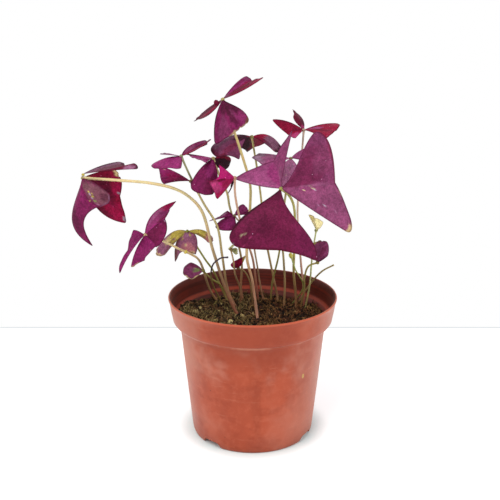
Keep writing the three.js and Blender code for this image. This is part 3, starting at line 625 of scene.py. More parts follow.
add_leaf(
    "drooping", "blade_lilac", (-0.5, 12, 187), 0.7, ("#8f6a4c", "#a59c62"),
    [
        (17, 34, 69), (16.5, 33.5, 76.5), (13, 31, 94.5), (7.5, 28, 124), (5.5, 25, 144.5), (2.5, 24, 167),
        (0.5, 17, 180),
    ],
    leaflet(
        (18, 4, -10), (18, 8, -7), (14.5, -4, -9.5),
        bow=(0, 0, 3.5), belly=0.5, side=[(0.3, 0, 0.5), (0.3, 0, -2.4)], corner=0.9, upper="crimson",
        bites=[(-40, 10, 5)],
        on_upper=[
            (0, 72, 130, 28, "grey", 90), (0, 102, 130, 12, "black", 85), (80, 50, 30, 30, "dark", 60),
        ],
    ),
    leaflet(
        (-20.5, -12, -10.5), (-7.5, -12, -12), (-25, -2, -5),
        bow=(0, -1, 3.6), side=[-1, 0.3], edge=[-0.04, 0.06], corner=[0.96, 0.8], corner_from=[0.9, 0.5],
        upper="dusky",
        on_upper=[
            # The black band near the hub is painted shade under a fold.
            (0, 26, 140, 22, "black", 90), (0, 3, 140, 12, "crimson", 80), (75, 70, 40, 40, "grey", 85),
            (78, 66, 10, 7, "frost", 70), (10, 98, 50, 6, "wine", 70), (-30, 75, 30, 20, "crimson", 40),
        ],
    ),
    leaflet(
        (-3, 16, -12.5), (-9.5, 12, -7), (8.6, 16, -7),
        bow=(0, 0, 0.8), belly=0.5, side=[(0, 0, 1.5), (0, 0, 0)], corner=0.95, corner_from=0.85,
        on_under=[(-60, 75, 75, 60, "black", 90), (70, 70, 40, 40, "crimson", 90)],
    ),
)
add_leaf(
    "curled", "blade_crimson", (-10.5, -12, 167), 0.75, ("#9d5a49", "#c09a80"),
    [(4.5, 35, 69), (3, 32, 81), (0, 22, 107), (-4.5, 13, 123), (-8, 4, 138.5), (-10.5, -5, 155.5)],
    leaflet(
        (-15, -15, 1.5), (-10.5, -8, -11.5), (-9.5, 0, 8),
        side=[0.4, 0.2], far=[(0, 0, -0.3), (2, -2, -3)], corner=[0.94, 0.95], corner_from=[0.75, 0.9],
        upper="pink",
        on_upper=[
            (-4, 66, 13, 36, "wine", 95), (-75, 95, 40, 18, "red", 80), (-45, 35, 40, 30, "crimson", 70),
            (-38, 88, 30, 22, "rose", 80), (-90, 50, 12, 40, "crimson", 70), (-75, 100, 8, 4, "salmon", 80),
        ],
    ),
    leaflet(
        (-2.5, 5, -4.5), (-4.5, 8, -12), (-6, 3, -7),
        bow=0, belly=0, side=[(0.5, 0, -0.5), (-1.4, 0, 1.4)], far=[(0.7, 0, 0.7), (-0.3, 0, 0.9)],
        corner=0.95, corner_from=0.85, upper="black", under="black",
    ),
)
add_leaf(
    "high_left", "blade_purple", (-43, 5, 176.5), 0.75, ("#99694f", "#9a9a72"),
    [
        (-8.5, 23, 69), (-15.5, 21.5, 84), (-19.5, 20, 109.5), (-22.5, 19.5, 129), (-30.5, 17, 144),
        (-37, 14, 159), (-40, 9.5, 167.5),
    ],
    leaflet(
        (15.5, 3, 7), (15, 13, 7.5), (19, -11, 12),
        bow=0, belly=0.6, side=[(-3, 0, 1.2), (-0.4, 0, -1.4)], corner=[0.88, 0.96], corner_from=[0.6, 0.9],
        on_both=[
            (50, 60, 50, 80, "crimson", 80), (-20, 70, 20, 30, "dark", 50), (0, 97, 120, 6, "grey", 60),
            (-60, 40, 30, 25, "mauve", 40),
        ],
    ),
    leaflet(
        (-14, 13, -1), (-9, -3, 2), (-10.5, 27, -3.5),
        bow=0, belly=0.2, side=0, corner=0.9, upper="pale", under="pale",
    ),
    leaflet(
        (-12, -10, -6), (1, -17, -4.5), (-20.5, 1, -6),
        bow=0.6, belly=1, side=[0.9, 2.3], far=[(0, 0, -0.4), (-0.4, 0, -1)], corner=[0.93, 0.8],
        corner_from=[0.8, 0.3], upper="bright",
        on_upper=[
            (0, 10, 120, 10, "purple", 50), (30, 95, 50, 7, "purple", 50), (-95, 60, 10, 40, "purple", 60),
        ],
    ),
)
add_leaf(
    "tucked", "blade_purple", (-38, 10, 160), 0.65, ("#95664c", "#b0a06c"),
    [
        (-9.5, 18, 69), (-15.5, 17, 85.5), (-19, 12, 112), (-22, 9, 132), (-29.5, 9, 145.5),
        (-33.5, 9.5, 152.5),
    ],
    leaflet(
        (-19, 4, 2.5), (-16.5, -6, -1), (-21, 14, 6.5),
        belly=1, side=[0, 0.6], far=[(-0.4, 0, 0), (0, 0, 0)], corner=0.92, corner_from=0.75,
        upper="bright",
        on_upper=[
            # The wide pink patch is painted light, lifting a leaflet that lies at a low angle to the light.
            (-30, 40, 120, 34, "red", 60), (-20, 55, 120, 40, "pink", 40), (69, 82, 7, 5, "fleck", 90),
            (18, 63, 5, 4, "pale", 60), (-90, 60, 12, 50, "dark", 50),
        ],
    ),
    leaflet((14, 8, -1), (12, 16, 1.5), (14, -2, -3.5), edge=0.05),
    leaflet((6.5, -14, -1.5), (11.5, -10, -1), (2.5, -10, -4.5), edge=0.05),
)
add_leaf(
    "middle", "blade_purple", (-23.5, -4, 177), 0.75, ("#94654c", "#aa9f6a"),
    [
        (-5.5, 35, 69), (-7.5, 33, 81.5), (-7, 29, 102), (-10, 26, 119), (-13, 24, 134.5), (-14.5, 14, 144),
        (-15.5, 7, 153), (-18, 1, 160.5), (-20, -1.5, 166.5),
    ],
    leaflet(
        (-12.5, 4, -0.5), (-4, -12, -0.5), (-18, 14, 0),
        bow=0.3, belly=0.5, side=0.3, corner=0.9, upper="bright",
        on_upper=[(0, 95, 120, 12, "pale", 40), (-90, 50, 20, 40, "purple", 60)],
    ),
    leaflet(
        (-4.5, -14, -19), (1.5, -10, -19), (-14.5, -6, -17),
        bow=2, side=[2.8, 2], edge=0.03, corner=[0.85, 0.84], corner_from=[0.5, 0.4],
        on_upper=[
            (100, 55, 12, 60, "dark", 65), (-30, 75, 45, 25, "maroon", 70), (-10, 30, 50, 25, "bright", 85),
            (0, 102, 120, 4, "wine", 60),
        ],
    ),
    leaflet(
        (7.5, 9, -8.5), (11, 16, -2.5), (2.5, 2, -6.5),
        # This leaflet is painted black as shade: it lies in shadow below the leaflets above it.
        bow=0.6, belly=0.6, side=[1.2, 0.6], edge=0.04, corner_from=0.35, upper="black",
        on_upper=[(-100, 60, 30, 90, "crimson", 85)],
    ),
)
add_leaf(
    "arching", "blade_purple", (-101, -6, 165.5), 1, ("#7c4c38", "#bcab7c"),
    [
        (-7.5, 10, 69), (-14, 9, 82), (-24.5, 6, 116.5), (-31, 2.5, 143), (-38, 1, 152),
        (-46.5, -0.5, 157.5), (-60.5, -2.5, 161.5), (-77.5, -4, 163.5),
    ],
    leaflet(
        (24, 12, 1), (20, 26, 2.5), (34, 6, 1.5),
        start=(0.5, 0, 2.5), bow=0.3, belly=0.4, side=[(-0.4, 0, 0.9), (0, 0, 0.5)],
        far=[(0, 0, 0), (0, 0, 2.6)], corner=[0.88, 0.9], corner_from=[0.5, 0.6], upper="grey",
        on_upper=[
            (65, 42, 65, 60, "wine", 95), (-35, 62, 22, 40, "dun", 80), (-95, 45, 16, 50, "dark", 70),
            (-40, 98, 50, 5, "dark", 70), (95, 85, 35, 12, "pale", 75), (100, 100, 20, 6, "dark", 85),
            (10, 90, 15, 15, "pale", 60),
        ],
    ),
    leaflet(
        (19, 18, -15.5), (24, 10, -30.5), (17, 26, -0.5),
        bow=2, belly=1.2, side=[8, (0, 0, 1.7)], far=[(1, 0, 0), (2.8, 0, 0)], corner=[0.96, 0.97],
        corner_from=[0.85, 0.9], under="crimson", bites=[(95, 6, 5), (80, 6, 6), (62, 5, 3)],
        on_under=[
            (30, 50, 42, 32, "dark", 70), (-70, 85, 45, 25, "red", 80), (35, 92, 40, 12, "red", 75),
            (-90, 40, 12, 40, "dark", 60), (-20, 70, 30, 18, "dark", 55), (10, 96, 7, 7, "frost", 80),
            (-85, 99, 9, 4.5, "frost", 90), (-54, 78, 3.5, 3, "rose", 70), (2, 62, 4, 30, "dark", 50),
            (-30, 50, 4, 3, "fleck", 70), (-35, 58, 3.5, 3, "fleck", 60),
        ],
        on_both=[(92, 98, 15, 8, "straw", 95)],
    ),
    leaflet(
        (10, -14, -14.5), (19, -8, -10), (5, -2, -42),
        bow=(-3, -5, 0), side=[(3.4, 2, 2.6), (-5.8, 1, 0)], sway=[0, (-2.6, 0, 0)],
        far=[(1.5, 0, -1.5), (-5.2, 0, 3)], corner=[0.84, 0.98], corner_from=[0.4, 0.94],
        on_upper=[
            # The dun patches on the oval left lobe are its grey-brown tone and partly a painted sheen.
            (-60, 65, 42, 55, "dun", 85), (-70, 88, 18, 12, "dark", 55), (-60, 102, 50, 5, "pale", 90),
            # The dark patch inside the long right lobe is painted shade.
            (-12, 75, 6, 50, "dark", 60), (75, 70, 20, 25, "dark", 50), (100, 60, 6, 50, "dark", 60),
            (10, 35, 12, 30, "magenta", 60), (-50, 40, 25, 15, "dun", 70), (-44, 50, 6, 5, "yellow", 80),
            (-41, 67, 8, 5, "olive", 85), (-28, 80, 7, 6, "green", 95), (-40, 57, 6, 4, "frost", 90),
            (-31, 70, 6, 3, "frost", 80), (-10, 75, 5, 4, "olive", 70), (-50, 60, 5, 4, "olive", 70),
            (-18, 92, 5, 4, "pale", 50),
        ],
    ),
    knuckle={"at": (0.5, 0, 2), "radius": 1, "tone": "olive"},
)
add_leaf(
    "low_left", "blade_maroon", (-65, -8, 131), 0.8, ("#9d7452", "#c7b184"),
    [
        (-20.5, 33.5, 69), (-27.5, 28.5, 82), (-34, 14.5, 108), (-39, 9.5, 113.5), (-45, 4.5, 118),
        (-55, -3.5, 126),
    ],
    leaflet(
        (-11, -2, -10), (-5, -13, 6.5), (-17, 4, -27.3),
        belly=0.8, side=[0.4, -0.9], far=[(0, 0, 0), (-1.3, 0, 0)], corner=[0.93, 0.92],
        # The bright under side is painted light, lifting a lobe that lies in shade.
        corner_from=[0.75, 0.78], upper="magenta", under="bright",
        on_both=[
            (95, 50, 10, 50, "purple", 60), (-90, 80, 20, 20, "bright", 50),
            (100, 100, 20, 8, "maroon", 70),
        ],
    ),
    leaflet(
        (0.2, -9, -13.4), (9, -14, -3.5), (-8.5, -6, -20),
        side=[1, 0.9], edge=0.01, corner=0.88, corner_from=0.6, upper="magenta", bites=[(55, 8, 2)],
        on_upper=[
            (70, 101, 35, 4, "straw", 95), (-66, 96, 3.5, 3, "fleck", 80), (95, 60, 10, 50, "maroon", 50),
        ],
    ),
    leaflet(
        (11.5, 10, 7), (18, 22, 15.5), (7.5, -2, -7.5),
        side=[(-5, 0, 2.3), (-1, 0, -1.6)], far=[(0, 0, -1), (2.8, 0, -0.2)], edge=[-0.04, 0],
        corner=[0.98, 0.93], corner_from=[0.94, 0.75], upper="bright", bites=[(-62, 12, 6), (-10, 6, 6)],
        on_upper=[
            # The narrow dark strip along the rib is painted shadow between the two lobes.
            (-30, 85, 13, 35, "wine", 90), (50, 60, 55, 80, "maroon", 90), (-5, 60, 10, 70, "dark", 70),
            (-60, 60, 30, 40, "plum", 60), (60, 90, 30, 15, "purple", 60), (-95, 92, 30, 20, "red", 80),
            (8, 94, 5, 4, "frost", 85), (-85, 50, 10, 30, "pale", 30),
        ],
    ),
    knuckle={"at": (23.3, 15, -15.4), "radius": 1.3, "tone": "yellow"},
)
add_leaf(
    "wilted", "blade_yellow_green", (-41, 14, 127), 0.65, ("#8f7a4a", "#97964f"),
    [(-15, 34, 69), (-22, 29, 88), (-26, 24.5, 98.5), (-30, 21.5, 105.5), (-34, 18, 113.5)],
    leaflet(
        (-20, -1, -15.5), (-15, -4, -16), (-20, 4, -13.5),
        bow=(0, 0, 2.3), belly=0.6, side=[(0, 0, -1.2), (0, 0, 3)], corner=0.88, upper="mauve",
        under="mauve", wave=0.6,
        on_both=[
            (0, 30, 140, 34, "olive", 95), (20, 36, 90, 20, "yellow", 85), (40, 62, 50, 10, "straw", 70),
            (-30, 45, 30, 6, "mauve", 70), (30, 25, 30, 12, "olive", 80), (0, 103, 130, 8, "straw", 95),
            (-90, 75, 20, 30, "brown", 40), (20, 60, 20, 8, "straw", 60),
        ],
    ),
    leaflet(
        (0.5, -2, -12.5), (5.5, 0, -15), (-8.5, 2, -21.5),
        bow=(-1, -1, 2.5), side=[4.5, 2.4], far=[(0, 0, -0.6), (0, 0, 2.8)], corner=[0.9, 0.97],
        corner_from=[0.7, 0.9], upper="mauve", under="mauve", wave=0.6,
        on_both=[
            (-20, 88, 60, 20, "salmon", 85), (90, 60, 16, 60, "brown", 70), (7, 78, 10, 5, "straw", 80),
            (35, 50, 12, 6, "olive", 70), (-25, 30, 30, 16, "pale", 80), (-60, 35, 10, 10, "olive", 80),
            (50, 30, 12, 10, "olive", 70), (-41, 99, 30, 5, "straw", 70),
        ],
    ),
    leaflet(
        (15, 2, -8), (16.5, 6, -7), (13.5, 0, -8),
        bow=(1.5, 0, 2.8), belly=0.3, side=[(0, 0, 0.6), (0.2, 0, -2.4)], corner=0.9, upper="olive",
        under="olive", wave=0.5,
        on_both=[
            (0, 50, 90, 35, "yellow", 75), (0, 92, 130, 25, "salmon", 90), (-50, 30, 40, 20, "yellow", 70),
            (80, 50, 20, 30, "brown", 50),
        ],
    ),
)
add_leaf(
    "rim", "blade_purple", (-31, 8, 103), 0.6, ("#7d5f3c", "#8c8644"),
    [(-12, 30, 69), (-21, 17.5, 90.5), (-25, 13, 95), (-28.5, 9.5, 99.5)],
    leaflet(
        (-13, 2, -2), (-8, -2, -6), (-9, 6, 3.5),
        bow=0.8, belly=1.2, side=1, edge=0.06, corner=[0.8, 0.86], corner_from=[0.2, 0.5], upper="plum",
        bites=[(-50, 10, 5)],
        on_upper=[
            (10, 30, 55, 20, "green", 85), (20, 50, 25, 12, "grey", 60), (-70, 101, 60, 7, "straw", 95),
            (-100, 70, 12, 30, "straw", 85), (80, 50, 20, 40, "dark", 60),
        ],
    ),
)
add_leaf(
    "shaded", "blade_maroon", (-11.5, 18, 136), 0.6, ("#8f5f4a", "#a08a68"),
    [(8.5, 33, 69), (5, 30, 86.5), (2.5, 26, 104), (-1.5, 21.5, 122.5)],
    # The bright patches on these leaflets are painted light, lifting a leaf that lies in shadow.
    leaflet(
        (-9.5, -0.5, -0.5), (-16.5, -3, -3), (-4.5, 1, 3),
        bow=0.3, belly=0.5, side=[0, 0.2], corner=0.92, corner_from=0.8,
        on_upper=[(-20, 88, 100, 22, "pale", 75), (0, 40, 60, 35, "bright", 90)],
    ),
    leaflet(
        (-7.5, -6, -8), (1.5, -8, -7.5), (-12.5, -1, -7), bow=2, belly=1, side=1, edge=0.05, corner=0.78,
        on_upper=[(-20, 55, 60, 50, "bright", 95), (90, 70, 15, 40, "dark", 60)],
    ),
    leaflet(
        (8.5, 8, 2), (4, 14, 4), (10.5, 4, -0.5), bow=0.6, belly=0.8, edge=0.05, corner=0.85,
        on_upper=[(-20, 50, 60, 50, "bright", 95)],
    ),
)
add_leaf(
    "right", "blade_purple", (39.5, -8, 113.5), 0.65, ("#8a6645", "#9a8f52"),
    [(31, 23, 69), (33, 14, 88.5), (32.5, 4.5, 99.5), (34.5, -4, 110)],
    leaflet(
        (5, 0, 13.5), (-3, 8, 9.5), (7, -4, 6.5),
        bow=2, belly=1, side=1.4, edge=0.1, corner=[0.86, 0.84], corner_from=[0.5, 0.3], upper="plum",
        bites=[(-60, 8, 7), (-30, 6, 5)],
        on_upper=[
            (-78, 93, 16, 8, "olive", 90), (-45, 95, 10, 6, "brown", 80), (-75, 35, 25, 30, "brown", 70),
            (40, 60, 30, 30, "maroon", 50), (-65, 20, 20, 12, "green", 70), (90, 60, 10, 40, "dark", 50),
        ],
    ),
)
add_leaf(
    "folded", "blade_maroon", (-9, 10, 104), 0.5, ("#875943", "#8f7a50"),
    [(0.5, 31, 69), (-2, 17, 93.5), (-5.5, 12, 101.5)],
    leaflet(
        (1.5, -4, 8), (-4.8, -1, 4), (5, -6, 10.5),
        belly=0.8, side=[1.4, 0.5], edge=0.05, corner=[0.78, 0.9], corner_from=[0.4, 0.7], upper="crimson",
        bites=[(40, 10, 6)],
        on_upper=[
            (85, 88, 30, 25, "olive", 85), (75, 99, 40, 7, "straw", 85), (-70, 70, 35, 30, "rose", 45),
            (10, 95, 50, 12, "wine", 80),
        ],
    ),
)
add_leaf(
    "withered", "blade_yellow", (39, 2, 131), 0.6, ("#8f7f4c", "#a9ad74"),
    [(33.5, 18.5, 69), (36.5, 13, 92.5), (37, 7.5, 109), (38, 3.5, 122.5)],
    leaflet(
        (-1.5, -4, 9), (4.5, 2, 5.5), (-5, 2, 9.5),
        bow=-1.5, belly=1, side=[1.5, 0.3], corner=[0.85, 0.95], corner_from=[0.5, 0.85], upper="cream",
        under="cream", bites=[(35, 10, 6), (-50, 8, 4)],
        on_both=[
            (70, 85, 50, 20, "yellow", 40), (-60, 100, 40, 6, "straw", 80), (0, 15, 120, 15, "olive", 50),
        ],
    ),
)
add_leaf(
    "sprout", "blade_crimson", (-13.5, 2, 119), 0.6, ("#96604a", "#a98c64"),
    [(-8, 31, 69), (-8, 23.5, 85), (-11, 10, 100), (-12, 3.5, 111.5)],
    leaflet(
        (1.5, -5, 2.5), (3.5, -3, 3.5), (-1, -4, 0.5), belly=0.8, edge=0.05, upper="sage", under="sage",
        on_both=[(-40, 80, 30, 20, "brown", 40), (50, 40, 30, 20, "straw", 60)],
    ),
    leaflet(
        (4, -4, -1), (3.5, -3, -3), (4, -1, 1), bow=0.6, belly=0.5, edge=0.05, upper="sage", under="sage",
    ),
)

# Stalks that have lost their leaf, and the one that carries a flower bud.
LEAFLESS_STALKS = [
    {
        "name": "bare", "slot": "green_stalk", "radius": 0.65, "skin": ("#8b7a48", "#9a9455"),
        "stalk": [(12, 36.5, 69), (13, 28, 88), (16, 15.5, 107.5), (17.5, 9, 119), (19, 6, 126)],
    },
    {
        "name": "broken", "slot": "dry_stalk", "radius": 0.6, "skin": ("#7d5a3e", "#9c8c5c"),
        "stalk": [(28, 27.5, 69), (34.5, 26, 83), (44, 15, 100), (51, 10, 106)],
    },
    {
        "name": "budded", "slot": "green_stalk", "radius": 0.5, "skin": ("#83804a", "#949c55"),
        "stalk": [(23, 29.5, 69), (32.5, 16, 88.5), (26, -2.5, 108), (23.5, -8, 117)],
        "bud": {"radius": 1.3, "length": 4.5, "tone": "#a9a24c"},
    },
    {
        "name": "dried", "slot": "dark_stalk", "radius": 0.55, "skin": ("#82703f", "#332530"),
        "turns": (0.6, 0.76),
        "stalk": [
            (-17.5, 29, 69), (-24.5, 14, 89.5), (-26, 5, 101.5), (-24.5, 0, 109.5), (-21.5, -3, 113.5),
            (-19, -5, 115.5), (-15, -7, 116.5),
        ],
    },
]


# ---------------------------------------------------------------- Leaf blades

HUB_RADIUS = 1.3
BLADE_THICKNESS = 0.36
# Long leaflets take the fine grid of rows and columns, short ones the coarse grid.
LONG_LEAFLET = 18
FINE_GRID = (32, 64)
COARSE_GRID = (22, 44)
KNOB_RADIUS = HUB_RADIUS * 0.9
KNOB_PLACE = (0.5, 0.3)


def unit(v):
    return v / max(np.linalg.norm(v), 1e-9)


def of_lobe(value, lobe):
    """A value given once for both lobes, or as a list for the left and the right lobe."""
    return value[lobe] if isinstance(value, list) else value


def bend(value, direction):
    """A bend given as a vector, or as an amount along a direction."""
    return np.array(value, float) if isinstance(value, tuple) else direction * value


def surface_normals(points):
    """The direction that each point of a grid faces."""
    normal = np.cross(np.gradient(points, axis=1), np.gradient(points, axis=0))
    return normal / np.maximum(np.linalg.norm(normal, axis=2, keepdims=True), 1e-9)


def leaflet_points(hub, form, share, across):
    """Points of the leaflet at shares of its length from the hub, across from -1 (left) to 1 (right)."""
    rib, left, right = (np.array(form[key], float) for key in ("rib", "left", "right"))
    bow = bend(form["bow"], unit(np.cross(right, left)))
    points = np.zeros((*share.shape, 3))
    for lobe in (0, 1):
        here = across < 0 if lobe == 0 else across >= 0
        away = np.abs(across[here])
        outer = (left, right)[lobe]
        lobe_upper = unit(np.cross(rib, left) if lobe == 0 else np.cross(right, rib))
        keys = ("corner_from", "corner", "edge", "side", "far", "sway")
        start, corner, edge, side, far, sway = (of_lobe(form[key], lobe) for key in keys)
        turned = np.clip((away - start) / (1 - start), 0, 1)
        rounded = corner + (1 - corner) * np.sqrt(1 - turned ** 2)
        reach = (1 + edge * 4 * away * (1 - away)) * rounded
        for bite in form["bites"]:
            reach = reach * (1 - bite_depth(bite, across[here]))
        length = (share[here] * reach)[:, None]
        away = away[:, None]
        outer_line = unit(outer)
        beside = -unit(rib - rib.dot(outer_line) * outer_line)
        hang = 4 * length * (1 - length)
        lean = bend(sway, beside) * 2 * (2 * length - 1)
        swell = 4 * away * (1 - away) * length ** 2
        points[here] = (
            np.array(hub, float) + np.array(form["start"], float)
            + rib * length * (1 - away)
            + outer * length * away
            + (bend(side, beside) + lean) * hang * away ** 2
            + (np.array(far, float) + lobe_upper * form["belly"]) * swell
            + bow * hang
        )
    return points


def bite_depth(bite, across):
    """How much shorter the leaflet is where its edge is torn, as a share of its length."""
    centre, width, depth = bite
    near = np.clip(1 - np.abs(across - centre) / width, 0, 1)
    ragged = 0.6 + 0.4 * np.sin(across * 61 + centre * 17) * np.cos(across * 127)
    return depth * np.sqrt(near) * ragged


def rippled(points, share, across, size, seed):
    """The points, moved a little along their normals: low waves that grow towards the far edge."""
    slow = np.sin(2.3 * across + seed) * np.cos(2.9 * share + 1.7 * seed)
    edge = np.sin(11 * across + 2.1 * seed) * share ** 3
    groove = -0.35 * np.exp(-(across / 0.05) ** 2) * share
    rise = size * (slow * share + 0.55 * edge) + groove * size
    return points + surface_normals(points) * rise[..., None]


def blade_tones(form, share, across, side, seed):
    """The painted tone of one side of a leaflet at each point. All but narrow patches have wavy edges."""
    tones = np.tile(np.array(SKIN_TONES[form[side]]), (*share.shape, 1))
    wobble = 0.13 * np.sin(9 * across + 7 * share + seed)
    wobble = wobble + 0.09 * np.sin(23 * share - 17 * across + 2 * seed)
    for centre, at_share, wide, long, name, strength in form["on_" + side] + form["on_both"]:
        distance = np.sqrt(((across - centre) / wide) ** 2 + ((share - at_share) / long) ** 2)
        distance = distance + (wobble if wide > 0.08 else 0.35)
        weight = np.clip((1.25 - distance) / 0.5, 0, 1)
        weight = (weight * weight * (3 - 2 * weight) * strength)[..., None]
        tones = tones * (1 - weight) + np.array(SKIN_TONES[name]) * weight
    return tones


def leaflet_shell(hub, form, seed):
    """Points, faces, places on the blade and tones of one leaflet: two skins and a rim between them."""
    rows, columns = FINE_GRID if np.linalg.norm(form["rib"]) > LONG_LEAFLET else COARSE_GRID
    step = np.linspace(-1, 1, columns + 1)
    spaced = np.sign(step) * np.sin(np.pi / 2 * np.abs(step)) * 0.55 + step * 0.45
    share, across = np.meshgrid(np.linspace(0.02, 1, rows), spaced, indexing="ij")
    middle = leaflet_points(hub, form, share, across)
    middle = rippled(middle, share, across, form["wave"], seed)
    normal = surface_normals(middle)
    upper = unit(np.cross(np.array(form["right"], float), np.array(form["left"], float)))
    if np.mean(normal @ upper) < 0:
        normal = -normal
    to_edge = np.minimum(1 - share, (1 - np.abs(across)) * share)
    thickness = BLADE_THICKNESS * (0.45 + 0.55 * np.clip(to_edge / 0.12, 0, 1))[..., None]
    skins = [middle + normal * thickness / 2, middle - normal * thickness / 2]
    count = rows * (columns + 1)
    points = np.concatenate([skin.reshape(-1, 3) for skin in skins])
    places = np.stack([(across + 1) / 2, share], axis=-1).reshape(-1, 2)
    tones = np.concatenate([
        blade_tones(form, share, across, side, seed).reshape(-1, 4) for side in ("upper", "under")
    ])

    def at(row, column):
        return row * (columns + 1) + column

    turned = np.dot(np.cross(middle[1, 1] - middle[1, 0], middle[2, 0] - middle[1, 0]), normal[1, 0]) < 0
    faces = []
    for row in range(rows - 1):
        for column in range(columns):
            quad = (at(row, column), at(row, column + 1), at(row + 1, column + 1), at(row + 1, column))
            if turned:
                quad = quad[::-1]
            faces.append(quad)
            faces.append(tuple(v + count for v in reversed(quad)))
    border = [at(row, 0) for row in range(rows - 1, 0, -1)]
    border += [at(0, column) for column in range(columns + 1)]
    border += [at(row, columns) for row in range(1, rows)]
    border += [at(rows - 1, column) for column in range(columns - 1, 0, -1)]
    for here, following in zip(border, border[1:] + border[:1]):
        rim = (here, following, following + count, here + count)
        faces.append(rim if turned else rim[::-1])
    return points, faces, np.concatenate([places, places]), tones


def knob_shell(hub, toward, radius):
    """A small uneven swelling, a little flat along one direction, as points and faces."""
    mesh = bmesh.new()
    bmesh.ops.create_icosphere(mesh, subdivisions=3, radius=1.0)
    axis = Vector(toward).normalized()
    points = []
    for vertex in mesh.verts:
        place = vertex.co
        lumps = 1 + 0.12 * noise.noise(place * 2.3 + Vector(hub))
        flat = place - axis * place.dot(axis) * 0.2
        points.append(tuple(Vector(hub) + flat * radius * lumps))
    faces = [tuple(v.index for v in face.verts) for face in mesh.faces]
    mesh.free()
    return points, faces


def leaf_piece(grown, seed):
    """All the leaflets of a leaf and its hub, as one piece."""
    points, faces, places, tones = [], [], [], []

    def join(shell_points, shell_faces, shell_places, shell_tones):
        offset = len(points)
        points.extend(map(tuple, shell_points))
        faces.extend(tuple(v + offset for v in face) for face in shell_faces)
        places.extend(map(tuple, shell_places))
        tones.extend(map(tuple, shell_tones))

    def join_knob(centre, toward, radius, colour):
        knob_points, knob_faces = knob_shell(centre, toward, radius)
        count = len(knob_points)
        join(knob_points, knob_faces, [KNOB_PLACE] * count, [colour] * count)

    hub = grown["hub"]
    for number, form in enumerate(grown["leaflets"]):
        join(*leaflet_shell(hub, form, seed + 1.7 * number))
    toward = np.array(hub, float) - np.array(grown["stalk"][-1], float)
    join_knob(hub, toward, KNOB_RADIUS, [0.7 * a for a in tone(grown["skin"][1])])
    knuckle = grown["knuckle"]
    if knuckle:
        centre = tuple(a + b for a, b in zip(hub, knuckle["at"]))
        join_knob(centre, knuckle["at"], knuckle["radius"], SKIN_TONES[knuckle["tone"]])

    piece = piece_from("blades_" + grown["name"], points, faces, BLADE_FINISHES[grown["slot"]])
    mesh = piece.data
    paint(mesh, tones)
    corner_points = np.zeros(len(mesh.loops), np.int32)
    mesh.loops.foreach_get("vertex_index", corner_points)
    layer = mesh.uv_layers.new(name="blade")
    layer.data.foreach_set("uv", np.array(places, np.float32)[corner_points].ravel())
    hand_over(piece, grown["slot"], "leaf_" + grown["name"])


# ---------------------------------------------------------------- Stalks

STALK_DEPTH = 6
SPAN_STEPS = 10
# The part of a stalk's length over which it turns from its foot's tone to its tip's.
TONE_TURNS = (0.06, 0.62)
HAIRY_FORM = {"Foot Flare": 1.15, "Hair Density": 110000.0, "Hair Length": 0.0007}


def curve_points(corners, per_span):
    """Points on the smooth curve through the corners, rounded the centripetal way."""
    corners = [np.array(c, float) for c in corners]
    ends = [2 * corners[0] - corners[1], *corners, 2 * corners[-1] - corners[-2]]
    found = []
    for before, start, end, after in zip(ends, ends[1:], ends[2:], ends[3:]):
        pairs = ((before, start), (start, end), (end, after))
        gaps = [max(np.linalg.norm(b - a), 1e-6) ** 0.5 for a, b in pairs]
        leave = (start - before) / gaps[0] - (end - before) / (gaps[0] + gaps[1]) + (end - start) / gaps[1]
        arrive = (end - start) / gaps[1] - (after - start) / (gaps[1] + gaps[2]) + (after - end) / gaps[2]
        leave, arrive = leave * gaps[1], arrive * gaps[1]
        for step in range(per_span):
            t = step / per_span
            found.append(
                start + leave * t
                + (3 * (end - start) - 2 * leave - arrive) * t ** 2
                + (2 * (start - end) + leave + arrive) * t ** 3
            )
    found.append(corners[-1])
    return found


def stalk_course(stalk):
    """The stalk's corners with its foot set straight down into the soil, and its end at the hub's skin."""
    base, following = np.array(stalk["stalk"][0], float), np.array(stalk["stalk"][1], float)
    slope = (following - base) / (following - base)[2]
    corners = [base - slope * STALK_DEPTH, *stalk["stalk"]]
    if "hub" in stalk:
        hub = np.array(stalk["hub"], float)
        inward = unit(hub - np.array(stalk["stalk"][-1], float))
        corners.append(hub - inward * (HUB_RADIUS * 0.55))
    return curve_points(corners, SPAN_STEPS)


